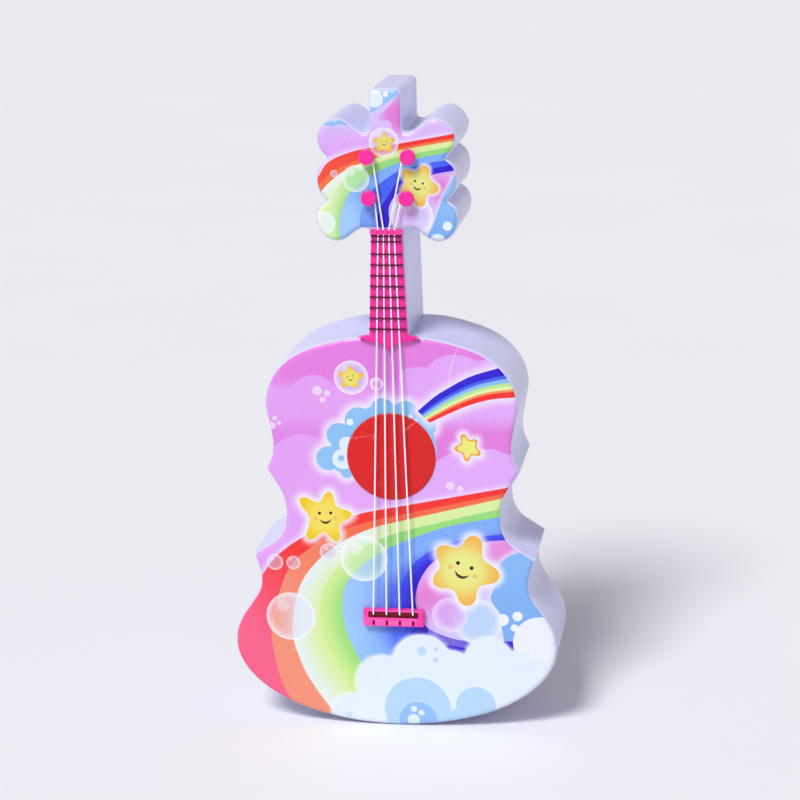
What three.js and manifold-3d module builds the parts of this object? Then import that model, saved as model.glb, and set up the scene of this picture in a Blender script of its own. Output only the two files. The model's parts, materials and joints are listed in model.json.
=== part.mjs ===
// A toy electric guitar with a violin-shaped body, standing upright.
// Millimetres. +Z is up along the neck, the printed front faces -Y and +X is to the viewer's right.
// The origin is at the bottom centre of the whole object.

import * as THREE from 'three';
import { mergeVertices } from 'three/addons/utils/BufferGeometryUtils.js';
import Module from 'manifold-3d';

const wasm = await Module();
wasm.setup();

// ---- driving dimensions ----
const DEPTH = 62;              // printed face to flat back
const PROUD = 6.5;             // how far the peg heads stand out of the face
const FACE_Y = PROUD - (DEPTH + PROUD) / 2;
const BACK_Y = FACE_Y + DEPTH;
const WALL = 2.2;              // casing wall
const EDGE_R = 3;              // rounding between the face and the side walls
const GAP = 0.3;               // clearance between separate pieces
const OUTLINE_STEP = 4;        // spacing of the outline's points
const HEAD_STEP = 3;           // and on the small lobes of the head and at the waist

const FILM = { inset: EDGE_R, near: -0.5, far: -0.1 };   // printed film, in mm in front of the face
const NECK_CUT = { low: 224, high: 285, half: 13 };      // the film stops where the neck starts

const HOLE = { z: 157.5, r: 24.6, near: -0.8 };          // red sound-hole disc
const FRETS = { count: 8, first: 271.3, pitch: 5.9, extra: [281.1, 278.2], width: 0.6, rise: 1.5 };
const FRETBOARD = { topZ: 281.7, topHalf: 8.4, lowHalf: 10.4, lowZ: 226.6, near: -3, far: -0.1 };
const BRACE_END = [[12.6, 226], [16.6, 225.2], [11.4, 223], [5.6, 221.8], [2, 220.4], [0, 217.6]];
const NUT = { lowZ: 282, highZ: 284.6, half: 8.8, near: -4.5, far: -0.1, floor: -3, notch: 0.75 };
const BRIDGE = { lowZ: 60.4, highZ: 70, half: 17, near: -4.4, far: -0.6 };
const SLOT = { lowZ: 65.3, highZ: 68.8, half: 14.1, floor: -1.7 };
const GROOVE = { lowZ: 60.9, highZ: 63.8, half: 0.6, floor: -3.4 };

const STRING = { r: 0.45, bridgeX: 3.7, nutX: 1.48, z: 67.4, level: -5.1, boardLevel: -3.6, boardZ: 224 };
const KNOT = { r: 1.7, bore: 1.1 };
const PEGS = [
  { x: -9, z: 301.9 },
  { x: -9.8, z: 324.1 },
  { x: 12.4, z: 324.1 },
  { x: 11.4, z: 301.9 },
];
const PEG = { head: 4.2, neck: 2.3, shaft: 2, groove: 1.4, bore: 2.3, bossR: 4.4, bossEnd: 6.2, end: 9.6 };
const WRAP = { ring: 3.1, r: 0.6, level: -2.3 };

const COVER = 2.5;             // rear cover thickness
const COVER_SCREWS = [
  [-52, 187], [52, 187], [-64, 48], [64, 48], [-25, 312], [25, 312],
];
const BOSS = { r: 3.6, bore: 1.8, end: 28 };             // casing boss, in mm behind the face
const WELL = { outer: 4.6, inner: 3.3, floor: 2.4 };     // screw well of the rear cover
const SCREW = { headR: 2.7, headH: 1.9, r: 1.5, length: 13 };
const SMALL_SCREW = { headR: 2.2, headH: 1.5, r: 1.1, length: 4.6 };
const SMALL_POST = { r: 2.6, bore: 1.4 };                // posts that small screws bite into
const DOOR_SCREW = { headR: 2.6, headH: 1.2, r: 1.4, length: 5.6 };

// the places below are in mm in front of the flat back, so that all are negative
const CELL = { r: 7, length: 48.8, nubR: 2.7, nubH: 1.2, level: -10.4, pitch: 15.2, lowZ: 29 };
const BOX = { half: 29, lowZ: 21, highZ: 67.4, floor: -17.8, wall: 1.8 };
const DOOR = { half: 31.2, lowZ: 18.4, highZ: 76.6, thick: 2.4, gap: 0.4, ledge: -2.7, screwZ: 72.2 };
const GRIP = { half: 9, lowZ: 28, pitch: 2.4, count: 7, depth: 0.5 };
const COLLAR = { half: 34, lowZ: 13.8, highZ: 79.4, floor: -8.6 };
const TAB = { x: 18, half: 3, lowZ: 15.8, near: -4.5, far: -2.9 };
const SPEAKER = { z: 160, r: 24, level: -6.8, rim: 1.2, depth: 10, magnetR: 13, magnetH: 7, earX: 28.5 };
const BOARD = { half: 28, lowZ: 92, highZ: 122, level: -8.5, thick: 1.6, postX: 22, midZ: 107 };
const CHIP = { x: -6, r: 6, height: 1.8 };
const CAPACITOR = { x: 10, r: 3, height: 6.9 };
const SWITCH = { z: 86, half: 6.2, halfZ: 2.6, top: -4, bottom: -9, travel: 5, stem: 2, stemZ: 1.4 };
const SLOT_HALF_Z = 1.8;                                 // half height of the slot that the switch moves in
const PIEZO = { z: 44, r: 13, thick: 0.4, ceramicR: 9, ceramicThick: 0.3 };

// ---- colours ----
const WHITE = 0xe8e6f4;
const PINK = 0xf5289a;
const DARK = 0x5a0a18;
const RED = 0xd62828;
const LILAC = 0xe0aefc;
const STEEL = 0xb8bcc2;
const COPPER_RED = 0xc02020;
const BLACK = 0x1c1c20;
const GREEN = 0x1d6b3a;
const BRASS = 0xc9a24a;

// ---- solids ----

/** Turns a closed three.js geometry into a manifold solid. */
function solid(geometry) {
  const bare = geometry.clone();
  bare.deleteAttribute('normal');
  bare.deleteAttribute('uv');
  const merged = mergeVertices(bare, 1e-4);
  const index = merged.index.array;
  const corners = [];
  for (let i = 0; i < index.length; i += 3) {
    const [a, b, c] = [index[i], index[i + 1], index[i + 2]];
    if (a !== b && b !== c && c !== a) corners.push(a, b, c);
  }
  return new wasm.Manifold(new wasm.Mesh({
    numProp: 3,
    vertProperties: new Float32Array(merged.attributes.position.array),
    triVerts: new Uint32Array(corners),
  }));
}

function joined(solids) {
  return solids.reduce((sum, next) => sum.add(next));
}

function cut(body, solids) {
  return solids.reduce((rest, next) => rest.subtract(next), body);
}

function box([x0, x1], [y0, y1], [z0, z1]) {
  const geometry = new THREE.BoxGeometry(x1 - x0, y1 - y0, z1 - z0);
  return solid(geometry.translate((x0 + x1) / 2, (y0 + y1) / 2, (z0 + z1) / 2));
}

/** A cylinder along Y from y0 to y1. */
function post(x, z, r, y0, y1, sides = 20) {
  const geometry = new THREE.CylinderGeometry(r, r, y1 - y0, sides);
  return solid(geometry.translate(x, (y0 + y1) / 2, z));
}

/** A body turned about an axis along Y, from [radius, y] pairs that start and end on the axis or close. */
function turned(profile, x, z, sides = 16) {
  const points = profile.map(([r, y]) => new THREE.Vector2(r, y));
  return solid(new THREE.LatheGeometry(points, sides).translate(x, 0, z));
}

const UPRIGHT = new THREE.Matrix4().set(1, 0, 0, 0, 0, 0, -1, 0, 0, 1, 0, 0, 0, 0, 0, 1);

/** An outline in X and Z made into a plate from y0 to y1, shrunk by inset, its front edge rounded by edge. */
function plate(points, y0, y1, { inset = 0, edge = 0 } = {}) {
  const geometry = new THREE.ExtrudeGeometry(new THREE.Shape(points), {
    depth: y1 - y0 - edge,
    bevelEnabled: true,
    bevelThickness: edge,
    bevelSize: edge,
    bevelOffset: -inset - edge,
    bevelSegments: edge > 0 ? 2 : 1,
  });
  const whole = solid(geometry.applyMatrix4(UPRIGHT).translate(0, y1, 0));
  return whole.intersect(box([-400, 400], [y0 - 1, y1], [-400, 800]));
}

/** A route of straight stretches, whose sections stand at its corners and nowhere else. */
class CorneredRoute extends THREE.Curve {
  constructor(corners) {
    super();
    this.corners = corners;
  }

  getSpacedPoints() {
    return this.corners;
  }

  getTangentAt(share) {
    const last = this.corners.length - 1;
    const i = Math.round(share * last);
    const before = this.corners[Math.max(i - 1, 0)];
    const after = this.corners[Math.min(i + 1, last)];
    return after.clone().sub(before).normalize();
  }
}

/** A thin rod through the corners, as one solid. */
function bentRod(corners, r) {
  const circle = new THREE.Shape().absarc(0, 0, r, 0, Math.PI * 2);
  const path = new CorneredRoute(corners);
  const steps = corners.length - 1;
  return solid(new THREE.ExtrudeGeometry(circle, { extrudePath: path, steps, curveSegments: 3 }));
}

/** A round tube along a smooth curve through the points. */
function wire(points, r = 0.6, steps = 20) {
  const path = new THREE.CatmullRomCurve3(points.map(([x, y, z]) => new THREE.Vector3(x, y, z)));
  const circle = new THREE.Shape().absarc(0, 0, r, 0, Math.PI * 2);
  return solid(new THREE.ExtrudeGeometry(circle, { extrudePath: path, steps, curveSegments: 3 }));
}

function torus(x, y, z, ringR, r) {
  const geometry = new THREE.TorusGeometry(ringR, r, 6, 12).rotateX(Math.PI / 2);
  return solid(geometry.translate(x, y, z));
}

const guitar = new THREE.Group();

/** Adds one named piece to the guitar. */
function add(name, body, color, { roughness = 0.4, metalness = 0 } = {}) {
  const made = body.getMesh();
  const geometry = new THREE.BufferGeometry();
  geometry.setAttribute('position', new THREE.Float32BufferAttribute(made.vertProperties, 3));
  geometry.setIndex(Array.from(made.triVerts));
  geometry.computeVertexNormals();
  const mesh = new THREE.Mesh(geometry, new THREE.MeshStandardMaterial({ color, roughness, metalness }));
  mesh.name = name;
  guitar.add(mesh);
}

const METAL = { roughness: 0.3, metalness: 1 };

// ---- outline: the right half from the top down, as curves that meet at corners ----

const HEAD_TOP = [[0, 360], [5.8, 360], [7.8, 359.2], [8.7, 357.2], [8.8, 338.8]];
const HEAD_LOBE_1 = [
  [8.8, 338.8], [9.8, 336.9], [13.4, 336.6], [17.6, 339.4], [21.4, 342.4], [25.8, 344.2], [30.2, 343.6],
  [34.4, 340.8], [37.4, 336], [37.5, 332], [36, 327.4], [32, 322.6],
];
const HEAD_LOBE_2 = [[32, 322.6], [36.7, 318.2], [38.3, 311.4], [36.8, 304.7], [32.6, 299.8]];
const HEAD_LOBE_3 = [
  [32.6, 299.8], [37, 296], [38.6, 290.2], [37.2, 283.6], [33, 279], [27.7, 277.4],
  [22.6, 279], [18, 282.4], [13.6, 284.7], [9.2, 283.4],
];
const UPPER_BOUT = [
  [10.6, 224.6], [22, 224], [35.6, 221], [49.9, 215.8], [60.6, 208.2], [67.4, 198.4],
  [70.2, 187.4], [68.6, 176], [66.8, 165], [67.6, 156.4], [70.6, 149.2],
];
const WAIST = [
  [70.6, 149.2], [66, 141.6], [62.4, 135.2], [60.6, 128.6], [60.4, 121.6], [61.8, 114.4],
  [65.6, 108.4], [71.4, 104.2], [79, 99.4],
];
const LOWER_BOUT = [
  [79, 99.4], [77.2, 93.6], [75.6, 86], [76.6, 78.6], [81.4, 70.8], [87, 62.4], [90.6, 53],
  [90.4, 42.4], [86, 32.4], [78.4, 23.8], [68, 16], [54.4, 9.4], [38.4, 4.6], [19.6, 1.2], [0, 0],
];

function straight(points) {
  return points.map(([x, z]) => new THREE.Vector2(x, z));
}

function curved(points, step = OUTLINE_STEP) {
  const curve = new THREE.SplineCurve(straight(points));
  return curve.getSpacedPoints(Math.round(curve.getLength() / step));
}

/** The whole closed outline, mirrored about X = 0, counter-clockwise. */
function casingOutline() {
  const right = [
    ...straight(HEAD_TOP).slice(0, -1),
    ...curved(HEAD_LOBE_1, HEAD_STEP).slice(0, -1),
    ...curved(HEAD_LOBE_2, HEAD_STEP).slice(0, -1),
    ...curved(HEAD_LOBE_3, HEAD_STEP),
    ...curved(UPPER_BOUT).slice(0, -1),
    ...curved(WAIST, HEAD_STEP).slice(0, -1),
    ...curved(LOWER_BOUT),
  ];
  const left = right.slice(1, -1).map((p) => new THREE.Vector2(-p.x, p.y)).reverse();
  return [...right, ...left].reverse();
}

const OUTLINE = casingOutline();

// ---- casing ----

function stringX(i) {
  return (i - 1.5) * 2 * STRING.bridgeX;
}

function nutX(i) {
  return (i - 1.5) * 2 * STRING.nutX;
}

function frontShell() {
  const outside = plate(OUTLINE, FACE_Y, BACK_Y, { edge: EDGE_R });
  const inside = plate(OUTLINE, FACE_Y + WALL, BACK_Y + 1, { inset: WALL });
  const bosses = COVER_SCREWS.map(([x, z]) => post(x, z, BOSS.r, FACE_Y + 1, FACE_Y + BOSS.end, 14));
  const pegBosses = PEGS.map(({ x, z }) => post(x, z, PEG.bossR, FACE_Y + 1, FACE_Y + PEG.bossEnd, 16));
  const boreStart = FACE_Y + BOSS.end - SCREW.length - 2;
  return cut(joined([cut(outside, [inside]), ...bosses, ...pegBosses]), [
    ...COVER_SCREWS.map(([x, z]) => post(x, z, BOSS.bore, boreStart, FACE_Y + BOSS.end + 1, 10)),
    ...PEGS.map(({ x, z }) => post(x, z, PEG.bore, FACE_Y - 1, FACE_Y + PEG.bossEnd + 1, 16)),
    ...[0, 1, 2, 3].map((i) => post(stringX(i), STRING.z, KNOT.bore, FACE_Y - 1, FACE_Y + WALL + 1, 10)),
  ]);
}

function speakerGrille() {
  const holes = [];
  const rings = [[0, 1], [7.4, 6], [14.8, 12]];
  for (const [ringR, count] of rings) {
    for (let i = 0; i < count; i += 1) {
      const angle = (i / count) * Math.PI * 2;
      const [x, z] = [ringR * Math.cos(angle), SPEAKER.z + ringR * Math.sin(angle)];
      holes.push(post(x, z, 2, BACK_Y - COVER - 1, BACK_Y + 1, 8));
    }
  }
  return holes;
}

function ringWall(x, z, outer, inner, y0, y1, sides = 28) {
  return cut(post(x, z, outer, y0, y1, sides), [post(x, z, inner, y0 - 1, y1 + 1, sides)]);
}

function batteryBoxWalls() {
  const inner = BACK_Y - COVER + 0.5;
  return [
    box([-COLLAR.half, COLLAR.half], [BACK_Y - 6, inner], [COLLAR.lowZ, COLLAR.highZ]),
    box([-10, 10], [BACK_Y + COLLAR.floor, inner], [BOX.highZ, COLLAR.highZ]),
    box(
      [-BOX.half - BOX.wall, BOX.half + BOX.wall],
      [BACK_Y + BOX.floor - BOX.wall, inner],
      [BOX.lowZ - BOX.wall, BOX.highZ + BOX.wall],
    ),
  ];
}

function batteryBoxHollows() {
  const open = DOOR.gap;
  const wireHoles = [
    [BOX.half, cellZ(0)],
    [-BOX.half, cellZ(2)],
  ].map(([x, z]) => box(
    [Math.min(x, x * 1.2), Math.max(x, x * 1.2)],
    [BACK_Y - 15.4, BACK_Y - 12.6],
    [z - 1.4, z + 1.4],
  ));
  return [
    box([-BOX.half, BOX.half], [BACK_Y + BOX.floor, BACK_Y + 1], [BOX.lowZ, BOX.highZ]),
    box(
      [-DOOR.half - open, DOOR.half + open],
      [BACK_Y + DOOR.ledge, BACK_Y + 1],
      [DOOR.lowZ - open, DOOR.highZ + open],
    ),
    post(0, DOOR.screwZ, 2.2, BACK_Y - 7.8, BACK_Y, 16),
    ...[-1, 1].map((side) => box(
      [side * TAB.x - TAB.half - 0.5, side * TAB.x + TAB.half + 0.5],
      [BACK_Y - 7, BACK_Y - COVER],
      [TAB.lowZ - 1, BOX.lowZ + 1],
    )),
    ...wireHoles,
  ];
}

/** The posts for the speaker's and the board's screws, up to the level y; starts are behind the back. */
function smallPosts(r, speakerStart, boardStart, y) {
  return [-1, 1].flatMap((side) => [
    post(side * SPEAKER.earX, SPEAKER.z, r, BACK_Y + speakerStart, y, 12),
    post(side * BOARD.postX, BOARD.midZ, r, BACK_Y + boardStart, y, 12),
  ]);
}

function rearCover() {
  const wellEnd = FACE_Y + BOSS.end + GAP;
  const inner = BACK_Y - COVER + 0.5;
  const posts = [
    ...COVER_SCREWS.map(([x, z]) => post(x, z, WELL.outer, wellEnd, inner, 16)),
    ringWall(0, SPEAKER.z, SPEAKER.r + 2, SPEAKER.r + 0.4, BACK_Y + SPEAKER.level + GAP, inner),
    ...smallPosts(SMALL_POST.r, SPEAKER.level + GAP, BOARD.level + GAP, inner),
    ...[-1, 1].map((side) => box(
      side < 0 ? [-SWITCH.half - 1.5, -SWITCH.half - GAP] : [SWITCH.half + GAP, SWITCH.half + 1.5],
      [BACK_Y + SWITCH.bottom, inner],
      [SWITCH.z - SWITCH.halfZ, SWITCH.z + SWITCH.halfZ],
    )),
    ...batteryBoxWalls(),
  ];
  const slotHalf = SWITCH.travel / 2 + SWITCH.stem + 0.4;
  const openings = [
    ...COVER_SCREWS.map(([x, z]) => post(x, z, WELL.inner, wellEnd + WELL.floor, BACK_Y + 1, 16)),
    ...COVER_SCREWS.map(([x, z]) => post(x, z, BOSS.bore, wellEnd - 1, wellEnd + WELL.floor + 1, 10)),
    ...smallPosts(SMALL_POST.bore, -12, -12, BACK_Y - 3),
    box([-slotHalf, slotHalf], [BACK_Y - 3, BACK_Y + 1], [SWITCH.z - SLOT_HALF_Z, SWITCH.z + SLOT_HALF_Z]),
    ...batteryBoxHollows(),
    ...speakerGrille(),
  ];
  const sheet = plate(OUTLINE, BACK_Y - COVER, BACK_Y, { inset: WALL + GAP });
  return cut(joined([sheet, ...posts]), openings);
}

add('front_shell', frontShell(), WHITE);
add('rear_cover', rearCover(), WHITE);

// ---- printed film, sound-hole disc ----

const FILM_SHEET = plate(OUTLINE, FACE_Y + FILM.near, FACE_Y + FILM.far, { inset: FILM.inset });

function bodyFilm() {
  const body = box([-200, 200], [FACE_Y - 1, FACE_Y], [-10, NECK_CUT.low]);
  const disc = post(0, HOLE.z, HOLE.r + GAP, FACE_Y - 1, FACE_Y, 48);
  const bores = [0, 1, 2, 3].map((i) => post(stringX(i), STRING.z, KNOT.bore, FACE_Y - 1, FACE_Y, 10));
  return cut(FILM_SHEET.intersect(body), [disc, ...bores, fretboardShape(GAP, -1, 0)]);
}

function headFilm() {
  const y = [FACE_Y - 1, FACE_Y];
  const head = joined([
    box([-200, 200], y, [NECK_CUT.high, 400]),
    box([-200, -NECK_CUT.half], y, [270, 400]),
    box([NECK_CUT.half, 200], y, [270, 400]),
  ]);
  const bores = PEGS.map(({ x, z }) => post(x, z, PEG.bore, FACE_Y - 1, FACE_Y));
  return cut(FILM_SHEET.intersect(head), bores);
}

/** The fretboard's plan: a tapering board whose lower end flares out and comes back to a point. */
function fretboardShape(grow, near, far) {
  const right = [
    [FRETBOARD.topHalf, FRETBOARD.topZ], [FRETBOARD.lowHalf, FRETBOARD.lowZ], ...BRACE_END,
  ];
  const left = right.slice(0, -1).map(([x, z]) => [-x, z]).reverse();
  return plate(straight([...right, ...left]).reverse(), FACE_Y + near, FACE_Y + far, { inset: -grow });
}

add('body_film', bodyFilm(), LILAC, { roughness: 0.2 });
add('head_film', headFilm(), LILAC, { roughness: 0.2 });
add('sound_hole_disc', post(0, HOLE.z, HOLE.r, FACE_Y + HOLE.near, FACE_Y + FILM.far, 48), RED);

// ---- fretboard, nut, bridge ----

function fretHalf(z) {
  const share = (FRETBOARD.topZ - z) / (FRETBOARD.topZ - FRETBOARD.lowZ);
  return FRETBOARD.topHalf + share * (FRETBOARD.lowHalf - FRETBOARD.topHalf);
}

/** Where string i is at a height between the bridge and the nut. */
function stringAt(i, z) {
  const share = (z - STRING.z) / (NUT.lowZ - STRING.z);
  return stringX(i) + share * (nutX(i) - stringX(i));
}

/** The board with its fret bars, which stand over the strings and let each through a small tunnel. */
function fretboard() {
  const top = FACE_Y + FRETBOARD.near;
  const bars = [];
  const tunnels = [];
  const even = Array.from({ length: FRETS.count }, (_, i) => FRETS.first - i * FRETS.pitch);
  for (const z of [...FRETS.extra, ...even]) {
    const half = fretHalf(z) - 0.05;
    const along = [z - FRETS.width / 2, z + FRETS.width / 2];
    bars.push(box([-half, half], [top - FRETS.rise, top + 0.5], along));
    for (let i = 0; i < PEGS.length; i += 1) {
      const x = stringAt(i, z);
      tunnels.push(box([x - NUT.notch, x + NUT.notch], [top - FRETS.rise + 0.3, top], [z - 1, z + 1]));
    }
  }
  return joined([fretboardShape(0, FRETBOARD.near, FRETBOARD.far), cut(joined(bars), tunnels)]);
}

/** The nut, with a square notch for each string. */
function nut() {
  const bar = box([-NUT.half, NUT.half], [FACE_Y + NUT.near, FACE_Y + NUT.far], [NUT.lowZ, NUT.highZ]);
  return cut(bar, [0, 1, 2, 3].map((i) => box(
    [nutX(i) - NUT.notch, nutX(i) + NUT.notch],
    [FACE_Y - 9, FACE_Y + NUT.floor],
    [NUT.lowZ - 1, NUT.highZ + 1],
  )));
}

function bridge() {
  const block = box(
    [-BRIDGE.half, BRIDGE.half], [FACE_Y + BRIDGE.near, FACE_Y + BRIDGE.far], [BRIDGE.lowZ, BRIDGE.highZ],
  );
  return cut(block, [
    box([-SLOT.half, SLOT.half], [FACE_Y - 9, FACE_Y + SLOT.floor], [SLOT.lowZ, SLOT.highZ]),
    ...[0, 1, 2, 3].map((i) => box(
      [stringX(i) - GROOVE.half, stringX(i) + GROOVE.half],
      [FACE_Y - 9, FACE_Y + GROOVE.floor],
      [GROOVE.lowZ, GROOVE.highZ],
    )),
    ...[0, 1, 2, 3].map((i) => post(stringX(i), STRING.z, KNOT.bore, FACE_Y - 9, FACE_Y + 1, 10)),
  ]);
}

function bridgeInsert() {
  const strip = box(
    [-SLOT.half + GAP, SLOT.half - GAP],
    [FACE_Y + SLOT.floor - 1.2, FACE_Y + SLOT.floor - 0.1],
    [SLOT.lowZ + GAP, SLOT.highZ - GAP],
  );
  return cut(strip, [0, 1, 2, 3].map((i) => post(stringX(i), STRING.z, 0.9, FACE_Y - 9, FACE_Y, 10)));
}

add('fretboard', fretboard(), PINK, { roughness: 0.3 });
add('nut', nut(), PINK, { roughness: 0.3 });
add('bridge', bridge(), PINK, { roughness: 0.3 });
add('bridge_slot_insert', bridgeInsert(), DARK);

// ---- tuning pegs and strings ----

function peg({ x, z }) {
  return turned([
    [0, -PROUD], [PEG.head - 0.7, -PROUD], [PEG.head, -PROUD + 0.7], [PEG.head, -3.6],
    [PEG.neck, -3.4], [PEG.neck, -1.3], [3.4, -1.1], [3.4, -0.8], [PEG.shaft, -0.8],
    [PEG.shaft, 6.6], [PEG.groove, 6.6], [PEG.groove, 7.9], [PEG.shaft, 7.9],
    [PEG.shaft - 0.4, PEG.end], [0, PEG.end],
  ].map(([r, y]) => [r, y + FACE_Y]), x, z);
}

function pegClip({ x, z }) {
  return ringWall(x, z, 4.2, PEG.groove + GAP, FACE_Y + 6.9, FACE_Y + 7.6, 16);
}

/** One string: knotted behind the face, up through the bridge, along the board and once round its peg. */
function string(i) {
  const place = PEGS[i];
  const side = Math.sign(place.x);
  const startX = nutX(i);
  const reach = new THREE.Vector2(place.x - startX, place.z - NUT.highZ);
  const lean = Math.asin(WRAP.ring / reach.length());
  const heading = Math.atan2(reach.y, reach.x) + side * lean;
  const run = Math.sqrt(reach.lengthSq() - WRAP.ring ** 2);
  const corners = [
    [stringX(i), FACE_Y + WALL + 1.5, STRING.z],
    [stringX(i), FACE_Y + STRING.level + 0.5, STRING.z],
    [stringX(i), FACE_Y + STRING.level + 0.15, STRING.z + 0.15],
    [stringX(i), FACE_Y + STRING.level, STRING.z + 0.5],
    [stringAt(i, STRING.boardZ), FACE_Y + STRING.boardLevel, STRING.boardZ],
    [startX, FACE_Y + STRING.boardLevel, NUT.lowZ],
    [startX, FACE_Y + STRING.boardLevel, NUT.highZ],
    [startX + run * Math.cos(heading), FACE_Y + WRAP.level, NUT.highZ + run * Math.sin(heading)],
  ].map(([x, y, z]) => new THREE.Vector3(x, y, z));
  const knot = new THREE.SphereGeometry(KNOT.r, 8, 5);
  return joined([
    bentRod(corners, STRING.r),
    torus(place.x, FACE_Y + WRAP.level, place.z, WRAP.ring, WRAP.r),
    solid(knot.translate(stringX(i), FACE_Y + WALL + GAP + KNOT.r, STRING.z)),
  ]);
}

PEGS.forEach((place, i) => {
  add(`tuning_peg_${i + 1}`, peg(place), PINK, { roughness: 0.35 });
  add(`peg_clip_${i + 1}`, pegClip(place), STEEL, METAL);
  add(`string_${i + 1}`, string(i), WHITE, { roughness: 0.3 });
});

// ---- screws ----

/** A round-headed screw along Y: head at headY, shank running in the direction given. */
function screw(x, z, headY, direction, size) {
  const d = direction;
  const shank = [headY + d * size.headH * 0.6, headY + d * (size.headH + size.length)].sort((a, b) => a - b);
  const head = [headY, headY + d * size.headH].sort((a, b) => a - b);
  return joined([
    post(x, z, size.headR, head[0], head[1], 16),
    post(x, z, size.r, shank[0], shank[1], 10),
  ]);
}

/** The same screw with a cross recess cut in its head. */
function crossScrew(x, z, headY, direction, size) {
  const reach = size.headR * 0.6;
  const depth = [headY - direction, headY + direction * size.headH * 0.55].sort((a, b) => a - b);
  return cut(screw(x, z, headY, direction, size), [
    box([x - reach, x + reach], depth, [z - 0.35, z + 0.35]),
    box([x - 0.35, x + 0.35], depth, [z - reach, z + reach]),
  ]);
}

const WELL_FLOOR = FACE_Y + BOSS.end + GAP + WELL.floor;
COVER_SCREWS.forEach(([x, z], i) => {
  const headY = WELL_FLOOR + GAP + SCREW.headH;
  add(`cover_screw_${i + 1}`, crossScrew(x, z, headY, -1, SCREW), STEEL, METAL);
});

// ---- batteries, contacts, door ----

function cellZ(i) {
  return CELL.lowZ + i * CELL.pitch;
}

/** +1 when the cell's raised end points to +X. */
function cellSide(i) {
  return i % 2 === 0 ? 1 : -1;
}

function cell(i) {
  const side = cellSide(i);
  const body = new THREE.CylinderGeometry(CELL.r, CELL.r, CELL.length, 24).rotateZ(Math.PI / 2);
  const nub = new THREE.CylinderGeometry(CELL.nubR, CELL.nubR, CELL.nubH * 2, 12).rotateZ(Math.PI / 2);
  const nubX = BOX.half - 0.4 - GAP - CELL.nubH;
  return joined([
    solid(body.translate(side * (nubX - CELL.length / 2), BACK_Y + CELL.level, cellZ(i))),
    solid(nub.translate(side * nubX, BACK_Y + CELL.level, cellZ(i))),
  ]);
}

/** A contact plate against one end wall of the battery box, spanning the cells listed. */
function contact(side, cells) {
  const wall = BOX.half - 0.1;
  const inner = wall - 0.4;
  const x = side > 0 ? [inner, wall] : [-wall, -inner];
  const low = cellZ(cells[0]) - 4.8;
  const high = cellZ(cells[cells.length - 1]) + 4.8;
  const pieces = [box(x, [BACK_Y - 16, BACK_Y - 5], [low, high])];
  for (const i of cells) {
    if (cellSide(i) !== side) pieces.push(spring(side, cellZ(i), inner));
  }
  return joined(pieces);
}

/** A conical spring that grows from the plate towards the flat end of a cell. */
function spring(side, z, inner) {
  const turns = 3;
  const reach = 5.2;
  const points = [];
  for (let step = 0; step <= turns * 8; step += 1) {
    const share = step / (turns * 8);
    const angle = share * turns * Math.PI * 2;
    const r = 4 - 1.8 * share;
    points.push(new THREE.Vector3(
      side * (inner - reach * share), BACK_Y + CELL.level + r * Math.cos(angle), z + r * Math.sin(angle),
    ));
  }
  const circle = new THREE.Shape().absarc(0, 0, 0.4, 0, Math.PI * 2);
  const path = new THREE.CatmullRomCurve3(points);
  return solid(new THREE.ExtrudeGeometry(circle, { extrudePath: path, steps: 24, curveSegments: 3 }));
}

function batteryDoor() {
  const sheet = box([-DOOR.half, DOOR.half], [BACK_Y - DOOR.thick, BACK_Y], [DOOR.lowZ, DOOR.highZ]);
  const tabs = [-1, 1].flatMap((side) => {
    const x = [side * TAB.x - TAB.half, side * TAB.x + TAB.half];
    return [
      box(x, [BACK_Y + TAB.near, BACK_Y + TAB.far], [TAB.lowZ, 20.4]),
      box(x, [BACK_Y + TAB.near, BACK_Y - DOOR.thick + 0.5], [18.7, 20.4]),
    ];
  });
  const ribs = [];
  for (let i = 0; i < GRIP.count; i += 1) {
    const z = GRIP.lowZ + i * GRIP.pitch;
    ribs.push(box([-GRIP.half, GRIP.half], [BACK_Y - GRIP.depth, BACK_Y + 1], [z, z + 1]));
  }
  return cut(joined([sheet, ...tabs]), [
    post(0, DOOR.screwZ, 1.7, BACK_Y - 5, BACK_Y + 1, 14),
    post(0, DOOR.screwZ, 3, BACK_Y - 1.6, BACK_Y + 1, 20),
    ...ribs,
  ]);
}

for (let i = 0; i < 3; i += 1) add(`battery_${i + 1}`, cell(i), BLACK, METAL);
add('contact_positive', contact(1, [0]), STEEL, METAL);
add('contact_bridge_left', contact(-1, [0, 1]), STEEL, METAL);
add('contact_bridge_right', contact(1, [1, 2]), STEEL, METAL);
add('contact_negative', contact(-1, [2]), STEEL, METAL);
add('battery_door', batteryDoor(), WHITE);
add('battery_door_screw', crossScrew(0, DOOR.screwZ, BACK_Y - 0.1, -1, DOOR_SCREW), STEEL, METAL);

// ---- switch ----

function switchBody() {
  return box(
    [-SWITCH.half, SWITCH.half], [BACK_Y + SWITCH.bottom, BACK_Y + SWITCH.top],
    [SWITCH.z - SWITCH.halfZ, SWITCH.z + SWITCH.halfZ],
  );
}

function switchKnob() {
  const x = -SWITCH.travel / 2;
  return joined([
    box(
      [x - SWITCH.stem, x + SWITCH.stem], [BACK_Y - 3.2, BACK_Y - 0.1],
      [SWITCH.z - SWITCH.stemZ, SWITCH.z + SWITCH.stemZ],
    ),
    box([x - 3.4, x + 3.4], [BACK_Y - 3.7, BACK_Y - 2.9], [SWITCH.z - 2.3, SWITCH.z + 2.3]),
  ]);
}

add('switch_body', switchBody(), STEEL, METAL);
add('switch_knob', switchKnob(), BLACK);

// ---- speaker ----

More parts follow.
